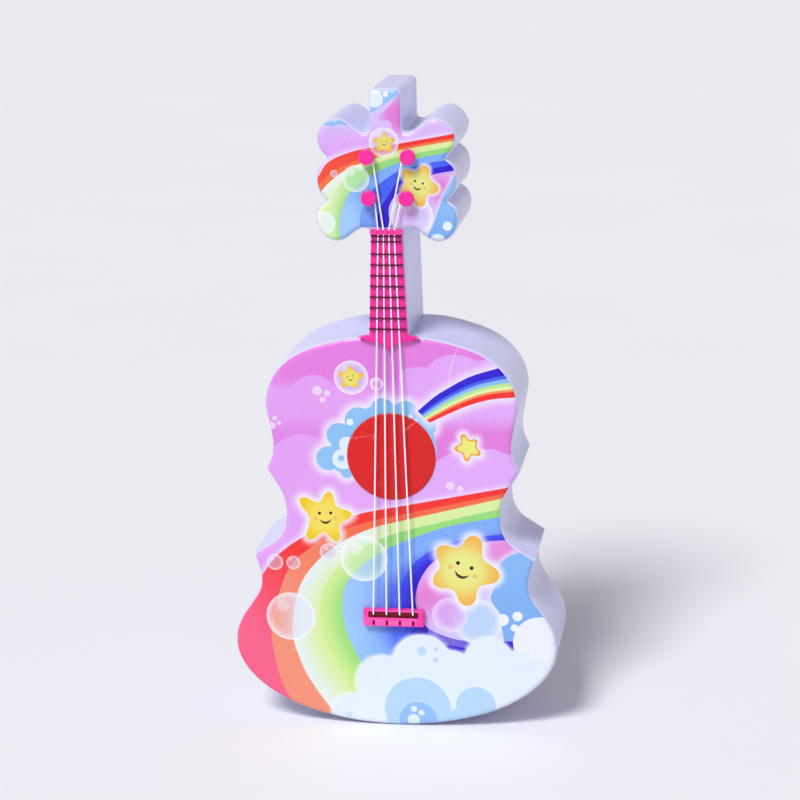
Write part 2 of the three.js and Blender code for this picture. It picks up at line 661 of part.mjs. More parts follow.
function speakerFrame() {
  const at = BACK_Y + SPEAKER.level;
  const basket = turned([
    [9, at - SPEAKER.depth], [14, at - SPEAKER.depth], [20.8, at - SPEAKER.rim],
    [SPEAKER.r, at - SPEAKER.rim], [SPEAKER.r, at], [20.4, at], [20, at - SPEAKER.rim],
    [13.4, at - SPEAKER.depth + 1], [9, at - SPEAKER.depth + 1], [9, at - SPEAKER.depth],
  ], 0, SPEAKER.z, 20);
  const ears = box(
    [-SPEAKER.earX - 3, SPEAKER.earX + 3], [at - SPEAKER.rim, at], [SPEAKER.z - 3, SPEAKER.z + 3],
  );
  const clear = post(0, SPEAKER.z, 22, at - 3, at + 1, 32);
  const holes = [-1, 1].map((side) => (
    post(side * SPEAKER.earX, SPEAKER.z, SMALL_POST.bore, at - 3, at + 1, 10)
  ));
  return cut(joined([basket, cut(ears, [clear])]), holes);
}

function speakerCone() {
  const at = BACK_Y + SPEAKER.level;
  return turned([
    [0, at - 5.4], [4.6, at - 6.4], [5.4, at - 7.4], [18, at - 0.8], [20, at - 0.5], [20, at - 0.2],
    [17.6, at - 0.2], [5.6, at - 6.4], [4.4, at - 5.6], [0, at - 4.6],
  ], 0, SPEAKER.z, 20);
}

const MAGNET_Y = BACK_Y + SPEAKER.level - SPEAKER.depth - 0.1;
add('speaker_frame', speakerFrame(), STEEL, METAL);
add('speaker_cone', speakerCone(), BLACK, { roughness: 0.9 });
add('speaker_magnet', post(0, SPEAKER.z, SPEAKER.magnetR, MAGNET_Y - SPEAKER.magnetH, MAGNET_Y, 32), BLACK);
[-1, 1].forEach((side, i) => {
  const headY = BACK_Y + SPEAKER.level - SPEAKER.rim - 0.1 - SMALL_SCREW.headH;
  add(`speaker_screw_${i + 1}`, screw(side * SPEAKER.earX, SPEAKER.z, headY, 1, SMALL_SCREW), STEEL, METAL);
});

// ---- circuit board and the pieces on it ----

function circuitBoard() {
  const y = [BACK_Y + BOARD.level - BOARD.thick, BACK_Y + BOARD.level];
  const sheet = box([-BOARD.half, BOARD.half], y, [BOARD.lowZ, BOARD.highZ]);
  return cut(sheet, [-1, 1].map((side) => (
    post(side * BOARD.postX, BOARD.midZ, SMALL_POST.bore, y[0] - 1, y[1] + 1, 10)
  )));
}

const BOARD_Y = BACK_Y + BOARD.level - BOARD.thick;

function soundChip() {
  const dome = new THREE.SphereGeometry(CHIP.r, 20, 10).scale(1, CHIP.height / CHIP.r, 1);
  const placed = solid(dome.translate(CHIP.x, BOARD_Y - 0.1, BOARD.midZ));
  return placed.intersect(box([-20, 20], [BOARD_Y - 10, BOARD_Y - 0.1], [BOARD.lowZ, BOARD.highZ]));
}

add('circuit_board', circuitBoard(), GREEN, { roughness: 0.5 });
add('sound_chip', soundChip(), BLACK);
const CAPACITOR_TOP = BOARD_Y - 0.1;
add('capacitor', post(
  CAPACITOR.x, BOARD.midZ, CAPACITOR.r, CAPACITOR_TOP - CAPACITOR.height, CAPACITOR_TOP, 16,
), BLACK);
[-1, 1].forEach((side, i) => {
  const headY = BOARD_Y - 0.1 - SMALL_SCREW.headH;
  add(`board_screw_${i + 1}`, screw(side * BOARD.postX, BOARD.midZ, headY, 1, SMALL_SCREW), STEEL, METAL);
});

// ---- strum pick-up behind the bridge ----

const PIEZO_Y = FACE_Y + WALL + 0.1;
add('pickup_disc', post(0, PIEZO.z, PIEZO.r, PIEZO_Y, PIEZO_Y + PIEZO.thick, 28), BRASS, METAL);
const CERAMIC_Y = PIEZO_Y + PIEZO.thick + 0.1;
add('pickup_ceramic', post(0, PIEZO.z, PIEZO.ceramicR, CERAMIC_Y, CERAMIC_Y + PIEZO.ceramicThick, 24), WHITE);

// ---- wires, each as one tube along its route ----

const SOLDER_Y = BOARD_Y - 0.9;
for (const [side, name, color] of [[-1, 'red', COPPER_RED], [1, 'black', BLACK]]) {
  add(`speaker_wire_${name}`, wire([
    [side * 4, BACK_Y - 17.6, 143.6], [side * 4.6, BACK_Y - 20, 138],
    [side * 5.4, BACK_Y - 18, 128], [side * 6, SOLDER_Y - 3, 120], [side * 6, SOLDER_Y, 117.6],
  ], 0.6, 10), color);
  add(`switch_wire_${name}`, wire([
    [side * 3, BACK_Y + SWITCH.bottom - 0.8, 86], [side * 3.6, BACK_Y - 13.6, 88.6],
    [side * 4.4, SOLDER_Y - 3, 93.4], [side * 5, SOLDER_Y, 96],
  ], 0.6, 8), color);
  add(`pickup_wire_${name}`, wire([
    [side * 4, CERAMIC_Y + PIEZO.ceramicThick + 0.9, 48], [side * 5, CERAMIC_Y + 4, 56],
    [side * 9, FACE_Y + 16, 80], [side * 13, BACK_Y - 22, 98], [side * 14, SOLDER_Y - 3, 103],
    [side * 14, SOLDER_Y, 104],
  ], 0.6, 16), color);
}

function batteryWire(side, z, endX) {
  return wire([
    [side * (BOX.half + 0.4), BACK_Y - 14, z], [side * 34, BACK_Y - 14, z],
    [side * 38, BACK_Y - 13, z + 8], [side * 38, BACK_Y - 13, 80],
    [side * 32, BACK_Y - 15, 92], [side * endX, SOLDER_Y - 2, 97], [side * endX, SOLDER_Y, 98],
  ], 0.6, 18);
}

add('battery_wire_red', batteryWire(1, cellZ(0), 22), COPPER_RED);
add('battery_wire_black', batteryWire(-1, cellZ(2), 22), BLACK);

export default guitar;
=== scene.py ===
"""Looks of a toy electric guitar: printed films, casing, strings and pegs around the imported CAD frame.

Outlines are written in millimetres, as (x, z) on the printed face, and become metres when a mesh is made.
"""

import json
import math

import bmesh
import bpy
import numpy as np
from mathutils import Matrix, Vector
from mathutils.geometry import delaunay_2d_cdt


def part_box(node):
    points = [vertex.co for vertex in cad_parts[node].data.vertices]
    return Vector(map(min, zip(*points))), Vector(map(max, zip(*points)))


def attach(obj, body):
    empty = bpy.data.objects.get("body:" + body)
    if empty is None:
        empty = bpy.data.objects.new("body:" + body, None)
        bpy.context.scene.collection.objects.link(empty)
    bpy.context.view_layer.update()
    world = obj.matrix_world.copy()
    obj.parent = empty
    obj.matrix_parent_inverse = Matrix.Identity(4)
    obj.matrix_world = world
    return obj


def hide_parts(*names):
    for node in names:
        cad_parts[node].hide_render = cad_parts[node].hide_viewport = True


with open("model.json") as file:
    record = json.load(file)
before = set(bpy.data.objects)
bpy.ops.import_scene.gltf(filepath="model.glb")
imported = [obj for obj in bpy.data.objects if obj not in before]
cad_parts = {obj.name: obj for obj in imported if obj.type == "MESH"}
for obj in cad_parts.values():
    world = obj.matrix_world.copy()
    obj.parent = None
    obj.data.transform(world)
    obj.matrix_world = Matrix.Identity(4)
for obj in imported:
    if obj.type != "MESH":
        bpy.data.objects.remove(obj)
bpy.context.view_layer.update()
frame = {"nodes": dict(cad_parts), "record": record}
MM = 0.001

# ---- sizes, in millimetres ----

SHELL_LOW, SHELL_HIGH = (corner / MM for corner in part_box("front_shell"))
FACE_Y = SHELL_LOW.y           # the printed face, towards the viewer
BACK_Y = SHELL_HIGH.y
WALL = 2.2                     # casing wall
EDGE_R = 3                     # rounding between the face and the side walls
REAR_EDGE_R = 0.4
OUTLINE_STEP = 1.3             # spacing of the outline's points
GRID = 2.2                     # spacing of the loose points that soft colours need
FILM = 0.2                     # how far the film stands off the casing
FILM_RIM = 0.8                 # the film stops this far inside the outline, on the rounded edge
NECK_LOW, NECK_HIGH = 224, 285.6
HOLE_Z, HOLE_R, HOLE_GAP = 157.5, 24.6, 0.3
STRING_R = 0.45
INK, GLOSS = 0.82, 0.02        # the brightest print, and what its gloss adds
PEG_BORE = 2.3
STRING_HOLE = 1.1              # holes in the face, behind the bridge
PRINT_STEP = 1.5               # spacing of the points of the print's curves
RIGHT, LEFT, LOW = 100, -100, -20   # places well outside the outline, where the print's shapes end


# ---- outline: the right half from the top down, as curves that meet at corners ----

HEAD_TOP = [(0, 360), (5.8, 360)]
HEAD_CORNER = [(5.8, 360), (7.8, 359.2), (8.7, 357.2)]
HEAD_SIDE = [(8.7, 357.2), (8.8, 338.8)]
HEAD_LOBE_1 = [
    (8.8, 338.8), (9.8, 336.9), (13.4, 336.6), (17.6, 339.4), (21.4, 342.4), (25.8, 344.2), (30.2, 343.6),
    (34.4, 340.8), (37.4, 336), (37.5, 332), (36, 327.4), (32, 322.6),
]
HEAD_LOBE_2 = [(32, 322.6), (36.7, 318.2), (38.3, 311.4), (36.8, 304.7), (32.6, 299.8)]
HEAD_LOBE_3 = [
    (32.6, 299.8), (37, 296), (38.6, 290.2), (37.2, 283.6), (33, 279), (27.7, 277.4),
    (22.6, 279), (18, 282.4), (13.6, 284.7), (9.2, 283.4),
]
NECK = [(9.2, 283.4), (10.6, 224.6)]
UPPER_BOUT = [
    (10.6, 224.6), (22, 224), (35.6, 221), (49.9, 215.8), (60.6, 208.2), (67.4, 198.4),
    (70.2, 187.4), (68.6, 176), (66.8, 165), (67.6, 156.4), (70.6, 149.2),
]
WAIST = [
    (70.6, 149.2), (66, 141.6), (62.4, 135.2), (60.6, 128.6), (60.4, 121.6), (61.8, 114.4),
    (65.6, 108.4), (71.4, 104.2), (79, 99.4),
]
LOWER_BOUT = [
    (79, 99.4), (77.2, 93.6), (75.6, 86), (76.6, 78.6), (81.4, 70.8), (87, 62.4), (90.6, 53),
    (90.4, 42.4), (86, 32.4), (78.4, 23.8), (68, 16), (54.4, 9.4), (38.4, 4.6), (19.6, 1.2), (0, 0),
]


def spaced(points, step):
    """The same line with evenly spaced points."""
    points = np.array(points, float)
    walked = np.concatenate([[0], np.cumsum(np.linalg.norm(np.diff(points, axis=0), axis=1))])
    places = np.linspace(0, walked[-1], max(int(round(walked[-1] / step)), 1) + 1)
    return np.stack([np.interp(places, walked, points[:, k]) for k in range(points.shape[1])], axis=1)


def smooth(points, step=OUTLINE_STEP, closed=False):
    """A smooth curve through the points."""
    p = np.array(points, float)
    if closed:
        p = np.concatenate([p[-1:], p, p[:2]])
    else:
        p = np.concatenate([p[:1], p, p[-1:]])
    t = np.linspace(0, 1, 16, endpoint=False)[:, None]
    line = []
    for i in range(1, len(p) - 2):
        a, b, c, d = p[i - 1], p[i], p[i + 1], p[i + 2]
        line.append(0.5 * (
            2 * b + (c - a) * t + (2 * a - 5 * b + 4 * c - d) * t ** 2 + (3 * b - a - 3 * c + d) * t ** 3
        ))
    line.append(p[-2][None] if not closed else p[1][None])
    even = spaced(np.concatenate(line), step)
    return even[:-1] if closed else even


def casing_outline():
    """The whole closed outline, mirrored about X = 0, counter-clockwise."""
    stretches = [
        spaced(HEAD_TOP, OUTLINE_STEP), smooth(HEAD_CORNER, 0.7), spaced(HEAD_SIDE, OUTLINE_STEP),
        smooth(HEAD_LOBE_1), smooth(HEAD_LOBE_2), smooth(HEAD_LOBE_3), spaced(NECK, OUTLINE_STEP),
        smooth(UPPER_BOUT), smooth(WAIST),
    ]
    right = np.concatenate([*(stretch[:-1] for stretch in stretches), smooth(LOWER_BOUT)])
    left = right[1:-1][::-1] * (-1, 1)
    return np.concatenate([right, left])[::-1]


def circle(x, z, r, sides=40):
    angles = np.linspace(0, 2 * math.pi, sides, endpoint=False)
    return np.stack([x + r * np.cos(angles), z + r * np.sin(angles)], axis=1)


def inside(points, ring):
    """Which points lie inside the ring."""
    found = np.zeros(len(points), bool)
    x, z = points[:, 0], points[:, 1]
    for a, b in zip(ring, np.roll(ring, -1, axis=0)):
        crosses = (a[1] > z) != (b[1] > z)
        if a[1] != b[1]:
            found ^= crosses & (x < (b[0] - a[0]) * (z - a[1]) / (b[1] - a[1]) + a[0])
    return found


def distance(points, line, closed=True):
    """How far each point is from the nearest stretch of the line."""
    best = np.full(len(points), 1e9)
    ends = np.roll(line, -1, axis=0) if closed else line[1:]
    for a, b in zip(line, ends):
        along = b - a
        share = np.clip(((points - a) @ along) / max(along @ along, 1e-9), 0, 1)
        off = points - a - share[:, None] * along
        best = np.minimum(best, off[:, 0] ** 2 + off[:, 1] ** 2)
    return np.sqrt(best)


def inset(ring, depth):
    """The counter-clockwise ring moved inwards, or outwards where depth is negative."""
    along = np.roll(ring, -1, axis=0) - np.roll(ring, 1, axis=0)
    along /= np.linalg.norm(along, axis=1)[:, None]
    moved = ring + depth * np.stack([-along[:, 1], along[:, 0]], axis=1)
    return moved[distance(moved, ring) > abs(depth) * 0.97]


OUTLINE = casing_outline()


# ---- mesh making ----

def triangulate(loops, points=()):
    """Triangles between the loops' points and the loose points, with every loop's sides kept as edges."""
    places, edges = [], []
    for loop in loops:
        first = len(places)
        places += [Vector(p) for p in loop]
        edges += [(first + i, first + (i + 1) % len(loop)) for i in range(len(loop))]
    places += [Vector(p) for p in points]
    made = delaunay_2d_cdt(places, edges, [], 0, 1e-4, False)
    return np.array([tuple(p) for p in made[0]]), np.array([f for f in made[2] if len(f) == 3])


def within(places, triangles, outer, holes=()):
    """The triangles that lie inside the outer loop and outside every hole."""
    centres = places[triangles].mean(axis=1)
    kept = inside(centres, outer)
    for hole in holes:
        kept &= ~inside(centres, hole)
    return triangles[kept]


def rounding(depth, radius):
    """How far a rounded edge lies behind its face, at a distance from the outline."""
    short = radius - np.clip(depth, 0, radius)
    return radius - np.sqrt(radius ** 2 - short ** 2)


def edge_rings(ring, radius):
    """The ring and more rings inside it, closer together where a rounded edge is steeper."""
    return [ring, *(inset(ring, radius * share) for share in (0.02, 0.08, 0.2, 0.37, 0.6, 1))]


class Builder:
    """Collects the surfaces of one piece, in millimetres."""

    def __init__(self):
        self.places, self.faces = [], []

    def add(self, places, faces, flip=False):
        first = len(self.places)
        self.places += [tuple(p) for p in places]
        self.faces += [[first + i for i in (face[::-1] if flip else face)] for face in faces]

    def flat(self, places, triangles, y, flip=False):
        """A surface over the plan, at the y of each point."""
        y = np.broadcast_to(y, len(places))
        self.add(np.stack([places[:, 0], y, places[:, 1]], axis=1), triangles.tolist(), flip)

    def wall(self, ring, y0, y1, flip=False, rows=1):
        """A strip round the ring from y0 to y1; it faces outwards where y0 is nearer the viewer."""
        n = len(ring)
        places = [np.stack([ring[:, 0], np.full(n, y), ring[:, 1]], axis=1)
                  for y in np.linspace(y0, y1, rows + 1)]
        faces = [[a + i, a + i + n, a + (i + 1) % n + n, a + (i + 1) % n]
                 for a in range(0, rows * n, n) for i in range(n)]
        self.add(np.concatenate(places), faces, flip)

    def slab(self, ring, near, far, edge, holes=()):
        """A plate between two levels, with a rounded front edge."""
        places, triangles = triangulate([*edge_rings(ring, edge), *holes])
        depth = distance(places, ring)
        self.flat(places, within(places, triangles, ring, holes), near + rounding(depth, edge))
        self.wall(ring, near + edge, far)
        for hole in holes:
            self.wall(hole, near, far, flip=True)
        places, triangles = triangulate([ring, *holes])
        self.flat(places, within(places, triangles, ring, holes), far, flip=True)

    def turned(self, profile, x, z, sides=48):
        """A surface turned about an axis along Y, from [radius, y] pairs."""
        turn = np.linspace(0, 2 * math.pi, sides, endpoint=False)
        rows = [np.stack([x + r * np.cos(turn), np.full(sides, y), z + r * np.sin(turn)], axis=1)
                for r, y in profile]
        faces = []
        for row in range(len(profile) - 1):
            a, b = row * sides, (row + 1) * sides
            faces += [[a + i, b + i, b + (i + 1) % sides, a + (i + 1) % sides] for i in range(sides)]
        self.add(np.concatenate(rows), faces)

    def tube(self, route, r, sides=12):
        """A round tube along the route, closed at both ends."""
        route = np.array(route, float)
        along = np.gradient(route, axis=0)
        along /= np.linalg.norm(along, axis=1)[:, None]
        across = np.cross(along[0], (0.3, 0.2, 0.9))
        first = len(self.places)
        turn = np.linspace(0, 2 * math.pi, sides, endpoint=False)[:, None]
        for place, way in zip(route, along):
            across = across - way * (across @ way)
            across /= np.linalg.norm(across)
            up = np.cross(way, across)
            self.places += [tuple(p) for p in place + r * (np.cos(turn) * across + np.sin(turn) * up)]
        for row in range(len(route) - 1):
            a, b = first + row * sides, first + (row + 1) * sides
            self.faces += [[a + i, a + (i + 1) % sides, b + (i + 1) % sides, b + i] for i in range(sides)]
        self.faces.append(list(range(first + sides - 1, first - 1, -1)))
        last = first + (len(route) - 1) * sides
        self.faces.append(list(range(last, last + sides)))

    def piece(self, name, body="casing", slot=None, replaces=(), sharp=35):
        """The finished object, which rides on a CAD body."""
        mesh = bpy.data.meshes.new(name)
        mesh.from_pydata([tuple(c * MM for c in p) for p in self.places], [], self.faces)
        work = bmesh.new()
        work.from_mesh(mesh)
        bmesh.ops.remove_doubles(work, verts=work.verts, dist=1e-6)
        work.to_mesh(mesh)
        work.free()
        return place(name, mesh, body, slot, replaces, sharp)


def place(name, mesh, body, slot, replaces, sharp=35):
    """An object for the mesh, smooth where its faces meet at less than the sharp angle."""
    obj = bpy.data.objects.new(name, mesh)
    bpy.context.scene.collection.objects.link(obj)
    mesh.shade_smooth()
    mesh.set_sharp_from_angle(angle=math.radians(sharp))
    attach(obj, body)
    if slot:
        obj.data.materials.append(FINISHES[slot])
    if replaces:
        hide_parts(*replaces)
    return obj


def bevelled(obj, width):
    """Rounds the sharp edges of an object."""
    rounded = obj.modifiers.new("rounded edges", "BEVEL")
    rounded.width = width * MM
    rounded.segments = 2
    rounded.limit_method = "ANGLE"
    rounded.angle_limit = math.radians(35)
    rounded.harden_normals = True


# ---- colour ----

def rgb(code):
    """The red, green and blue of a colour written as hexadecimal digits, from 0 to 1."""
    return np.array([int(code[i:i + 2], 16) / 255 for i in (0, 2, 4)])


def linear(colour):
    colour = np.asarray(colour, float)
    return np.where(colour <= 0.04045, colour / 12.92, ((colour + 0.055) / 1.055) ** 2.4)


def ease(x):
    x = np.clip(x, 0, 1)
    return x * x * (3 - 2 * x)


def plain(colour, strength=1.0):
    """A shade with one colour all over its shape."""
    def shade(points):
        return np.broadcast_to(rgb(colour), (len(points), 3)), np.full(len(points), strength)
    return shade


def ramp(first, last, start, end, strengths=(1, 1)):
    """A shade that goes from one colour to another between two points."""
    start, way = np.array(start, float), np.array(end, float) - start

    def shade(points):
        share = ease(((points - start) @ way) / (way @ way))
        colours = rgb(first) + share[:, None] * (rgb(last) - rgb(first))
        return colours, strengths[0] + share * (strengths[1] - strengths[0])
    return shade


def spot(x, z, r, centre, rim, strengths=(1, 1), start=0.0):
    """A shade that changes from the centre of a circle to its rim."""
    def shade(points):
        share = np.hypot(points[:, 0] - x, points[:, 1] - z) / r
        share = ease((share - start) / (1 - start))
        colours = rgb(centre) + share[:, None] * (rgb(rim) - rgb(centre))
        return colours, strengths[0] + share * (strengths[1] - strengths[0])
    return shade


def across(curve, width, near, far, until=RIGHT):
    """A shade that changes with the distance from a curve, and has the far colour only right of a place."""
    line = smooth(curve, 2)

    def shade(points):
        share = ease(distance(points, line, closed=False) / width)
        share = np.maximum(share, ease((points[:, 0] - until + 24) / 24))
        return rgb(near) + share[:, None] * (rgb(far) - rgb(near)), np.ones(len(points))
    return shade


def divided(ring, step=2.0):
    """The same closed ring, with extra points on its long sides."""
    parts = [spaced((a, b), step)[:-1] for a, b in zip(ring, np.roll(ring, -1, axis=0))]
    return np.concatenate(parts)


class Picture:
    """A print made of shapes laid over each other, each with its own shade."""

    def __init__(self, shade):
        self.layers = [(None, None, shade)]
        self.loose = []

    def fill(self, ring, shade):
        self.layers.append((divided(np.array(ring)), None, shade))

    def ball(self, x, z, r, centre, rim, strengths, start):
        """A disc whose colour changes from its centre to its rim."""
        self.fill(circle(x, z, r), spot(x, z, r, centre, rim, strengths, start))

    def glow(self, ring, colour, width, strength=0.9):
        """Soft light round a shape."""
        self.layers.append((ring, width, plain(colour, strength)))
        for share in (0.25, 0.5, 0.75, 1):
            self.loose.append(inset(ring, -width * share))

    def disc(self, x, z, r, colour, strength=1.0):
        self.fill(circle(x, z, r), plain(colour, strength))

    def discs(self, places, colour, strength=1.0):
        """One disc for each x, z and radius."""
        for x, z, r in places:
            self.disc(x, z, r, colour, strength)

    def bubble(self, x, z, r, tint, body):
        """A clear ball: nearly clear in the middle, white round the rim, with a bright patch."""
        self.fill(circle(x, z, r), spot(x, z, r, tint, "FFFFFF", (body, 0.8), start=0.62))
        self.loose.append(circle(x, z, r * 0.62, 20))
        self.loose.append(circle(x, z, r * 0.8, 24))
        self.fill(circle(x - r * 0.3, z + r * 0.45, r * 0.26, 16), plain("FFFFFF", 0.4))

    def stroke(self, points, width, shade):
        """A thin line that narrows to its two ends."""
        line = smooth(points, 1.0)
        along = np.gradient(line, axis=0)
        along /= np.linalg.norm(along, axis=1)[:, None]
        side = np.stack([-along[:, 1], along[:, 0]], axis=1)
        half = width / 2 * np.sin(np.linspace(0.15, math.pi - 0.15, len(line)))[:, None]
        self.fill(np.concatenate([line - side * half, (line + side * half)[::-1]]), shade)

    def star(self, tips, centre_colour, rim_colour, glow=5.0, plump=0.65, blunt=0.2, outline=None):
        """A star with rounded tips and a soft light round it."""
        tips = np.array(tips, float)
        middle = tips.mean(axis=0)
        size = np.linalg.norm(tips - middle, axis=1).mean()
        ring = []
        for a, b in zip(tips, np.roll(tips, -1, axis=0)):
            out = a - middle
            side = np.array([-out[1], out[0]]) * blunt
            valley = (a + b) / 2 - middle
            ring += [middle + out * 0.88 - side, a, middle + out * 0.88 + side,
                     middle + valley / np.linalg.norm(valley) * size * plump]
        ring = smooth(ring, size * 0.08, closed=True)
        if glow:
            self.glow(ring, "F6F8FF", glow)
        if outline:
            self.fill(ring, plain(outline))
            ring = middle + (ring - middle) * 0.8
        self.fill(ring, spot(*middle, size, centre_colour, rim_colour, start=0.35))
        self.loose += [middle + (ring - middle) * share for share in (0.35, 0.6, 0.8)]
        return middle, size

    def face(self, middle, size, lean=0.0):
        """Two dots and a curved line, as a simple happy face."""
        turn = np.array([[math.cos(lean), -math.sin(lean)], [math.sin(lean), math.cos(lean)]])

        def put(x, z):
            return middle + turn @ (np.array([x, z]) * size)
        for side in (-1, 1):
            self.disc(*put(side * 0.2, 0.14), size * 0.055, "3A2A20")
            self.disc(*put(side * 0.36, -0.04), size * 0.07, "F7A070", 0.5)
        self.stroke([put(-0.2, -0.1), put(-0.08, -0.2), put(0.08, -0.2), put(0.2, -0.1)], size * 0.085,
                    plain("5A3020"))

    def colours(self, places, triangles):
        """The colour at every corner of every triangle."""
        centres = places[triangles].mean(axis=1)
        corners = places[triangles].reshape(-1, 2)
        result = np.ones((len(corners), 3))
        for ring, width, shade in self.layers:
            if ring is None:
                chosen = np.ones(len(triangles), bool)
            else:
                reach = width or 0
                low, high = ring.min(axis=0) - reach, ring.max(axis=0) + reach
                near = ((centres > low) & (centres < high)).all(axis=1)
                chosen = np.zeros(len(triangles), bool)
                chosen[near] = inside(centres[near], ring) if width is None else True
            picked = np.repeat(chosen, 3)
            if not picked.any():
                continue
            points = corners[picked]
            colour, strength = shade(points)
            if width is not None:
                strength = strength * (1 - ease(distance(points, ring) / width)) ** 1.2
            result[picked] += strength[:, None] * (colour - result[picked])
        return result


def grid(ring, step=GRID):
    """Evenly spread points inside the ring."""
    low, high = ring.min(axis=0), ring.max(axis=0)
    x, z = np.meshgrid(np.arange(low[0], high[0], step), np.arange(low[1], high[1], step))
    x = x + (np.arange(x.shape[0]) % 2)[:, None] * step / 2
    points = np.stack([x.ravel(), z.ravel()], axis=1)
    return points[inside(points, ring)]


def printed(name, picture, ring, holes, height, slot, replaces):
    """A thin sheet that carries the picture; height gives the y of each of its points."""
    loops = [ring, *holes, *(layer[0] for layer in picture.layers if layer[0] is not None)]
    loose = np.concatenate([grid(ring), *picture.loose])
    places, triangles = triangulate(loops, loose)
    triangles = within(places, triangles, ring, holes)
    used, numbers = np.unique(triangles, return_inverse=True)
    places, triangles = places[used], numbers.reshape(-1, 3)
    y = height(places)
    mesh = bpy.data.meshes.new(name)
    mesh.from_pydata(np.stack([places[:, 0], y, places[:, 1]], axis=1) * MM, [], triangles.tolist())
    painted = mesh.color_attributes.new("print", "FLOAT_COLOR", "CORNER")
    shown = np.ones((len(triangles) * 3, 4), np.float32)
    shown[:, :3] = np.maximum(linear(picture.colours(places, triangles)) * INK - GLOSS, 0.003)
    painted.data.foreach_set("color", shown.ravel())
    mesh.color_attributes.active_color = painted
    return place(name, mesh, "casing", slot, replaces)


# ---- finishes: every material is made of nodes ----

class Nodes:
    """Makes the nodes of one material."""

    def __init__(self, name):
        self.material = bpy.data.materials.new(name)
        self.material.use_nodes = True
        self.tree = self.material.node_tree
        self.shader = self.tree.nodes["Principled BSDF"]
        self.where = self.tree.nodes.new("ShaderNodeTexCoord").outputs["Object"]

    def link(self, output, target):
        self.tree.links.new(output, target)

    def noise(self, scale, detail=3.0, stretch=(1, 1, 1), distortion=0.0):
        """Noise from 0 to 1, with scale waves to the metre; stretch makes it longer along an axis."""
        node = self.tree.nodes.new("ShaderNodeTexNoise")
        mapping = self.tree.nodes.new("ShaderNodeMapping")
        mapping.inputs["Scale"].default_value = [scale * s for s in stretch]
        node.inputs["Scale"].default_value = 1
        node.inputs["Detail"].default_value = detail
        node.inputs["Distortion"].default_value = distortion
        self.link(self.where, mapping.inputs["Vector"])
        self.link(mapping.outputs["Vector"], node.inputs["Vector"])
        return node.outputs["Fac"]

    def span(self, value, low, high, start=0.3, end=0.7):
        """The value moved from start..end to low..high."""
        node = self.tree.nodes.new("ShaderNodeMapRange")
        self.link(value, node.inputs["Value"])
        for name, number in (("From Min", start), ("From Max", end), ("To Min", low), ("To Max", high)):
            node.inputs[name].default_value = number
        return node.outputs["Result"]

    def mix(self, share, first, last):
        """One colour over another; each is a colour code or an output."""
        node = self.tree.nodes.new("ShaderNodeMix")
        node.data_type = "RGBA"
        self.link(share, node.inputs["Factor"])
        for socket, colour in ((node.inputs[6], first), (node.inputs[7], last)):
            if isinstance(colour, str):
                socket.default_value = (*linear(rgb(colour)), 1)
            else:
                self.link(colour, socket)
        return node.outputs[2]

    def edges(self):
        """1 on worn outer edges, 0 elsewhere."""
        point = self.tree.nodes.new("ShaderNodeNewGeometry").outputs["Pointiness"]
        return self.span(point, 0, 1, 0.54, 0.64)

    def close_edges(self, reach=0.8):
        """1 within the reach of an edge, for meshes whose triangles are too long for edges()."""
        soft = self.tree.nodes.new("ShaderNodeBevel")
        soft.samples = 4
        soft.inputs["Radius"].default_value = reach * MM
        compare = self.tree.nodes.new("ShaderNodeVectorMath")
        compare.operation = "DOT_PRODUCT"
        self.link(soft.outputs["Normal"], compare.inputs[0])
        self.link(self.tree.nodes.new("ShaderNodeNewGeometry").outputs["Normal"], compare.inputs[1])
        return self.span(compare.outputs["Value"], 0, 1, 0.98, 0.8)

    def bump(self, height, depth):
        """Raises the surface by the height, where depth is in millimetres."""
        node = self.tree.nodes.new("ShaderNodeBump")
        node.inputs["Strength"].default_value = 1
        node.inputs["Distance"].default_value = depth * MM
        self.link(height, node.inputs["Height"])
        if self.shader.inputs["Normal"].links:
            self.link(self.shader.inputs["Normal"].links[0].from_socket, node.inputs["Normal"])
        self.link(node.outputs["Normal"], self.shader.inputs["Normal"])

    def done(self, colour, rough, **fixed):
        self.link(colour, self.shader.inputs["Base Color"])
        self.link(rough, self.shader.inputs["Roughness"])
        for name, value in fixed.items():
            self.shader.inputs[name.replace("_", " ")].default_value = value
        return self.material


def moulded(name, main, shade, worn, rough=(0.3, 0.42), grain=0.03, close=False, **fixed):
    """Moulded plastic: faint flow clouds, a fine skin grain and paler rubbed edges."""
    n = Nodes(name)
    clouds = n.mix(n.span(n.noise(22, 2), 0, 1), main, shade)
    colour = n.mix(n.close_edges() if close else n.edges(), clouds, worn)
    n.bump(n.noise(260, 2), grain)
    n.bump(n.noise(3500, 2), grain * 0.2)
    return n.done(colour, n.span(n.noise(90, 4), *rough), **fixed)


def metal(name, main, shade, rough=(0.22, 0.4), stretch=(1, 1, 1)):
    """Bare metal: brushed along one axis, a little stained."""
    n = Nodes(name)
    colour = n.mix(n.span(n.noise(160, 5), 0, 1), main, shade)
    streaks = n.noise(2600, 2, stretch)
    n.bump(streaks, 0.01)
    return n.done(colour, n.span(streaks, *rough), Metallic=1.0)


def film_finish(name):
    """Glossy printed film: the print, hair scratches and a slight waviness."""
    n = Nodes(name)
    attribute = n.tree.nodes.new("ShaderNodeAttribute")
    attribute.attribute_name = "print"
    hairs = n.noise(420, 3, (1, 1, 0.06), 0.6)
    worn = n.mix(n.span(hairs, 0, 0.05, 0.66, 0.74), attribute.outputs["Color"], "FFFFFF")
    specks = n.span(n.noise(900, 1), 0, 0.25, 0.76, 0.8)
    n.bump(n.noise(55, 2), 0.05)
    n.bump(hairs, 0.006)
    rough = n.span(n.noise(130, 5), 0.24, 0.38)
    return n.done(n.mix(specks, worn, "FFFFFF"), rough, Specular_IOR_Level=0.3, Coat_Weight=0.12,
                  Coat_Roughness=0.15)


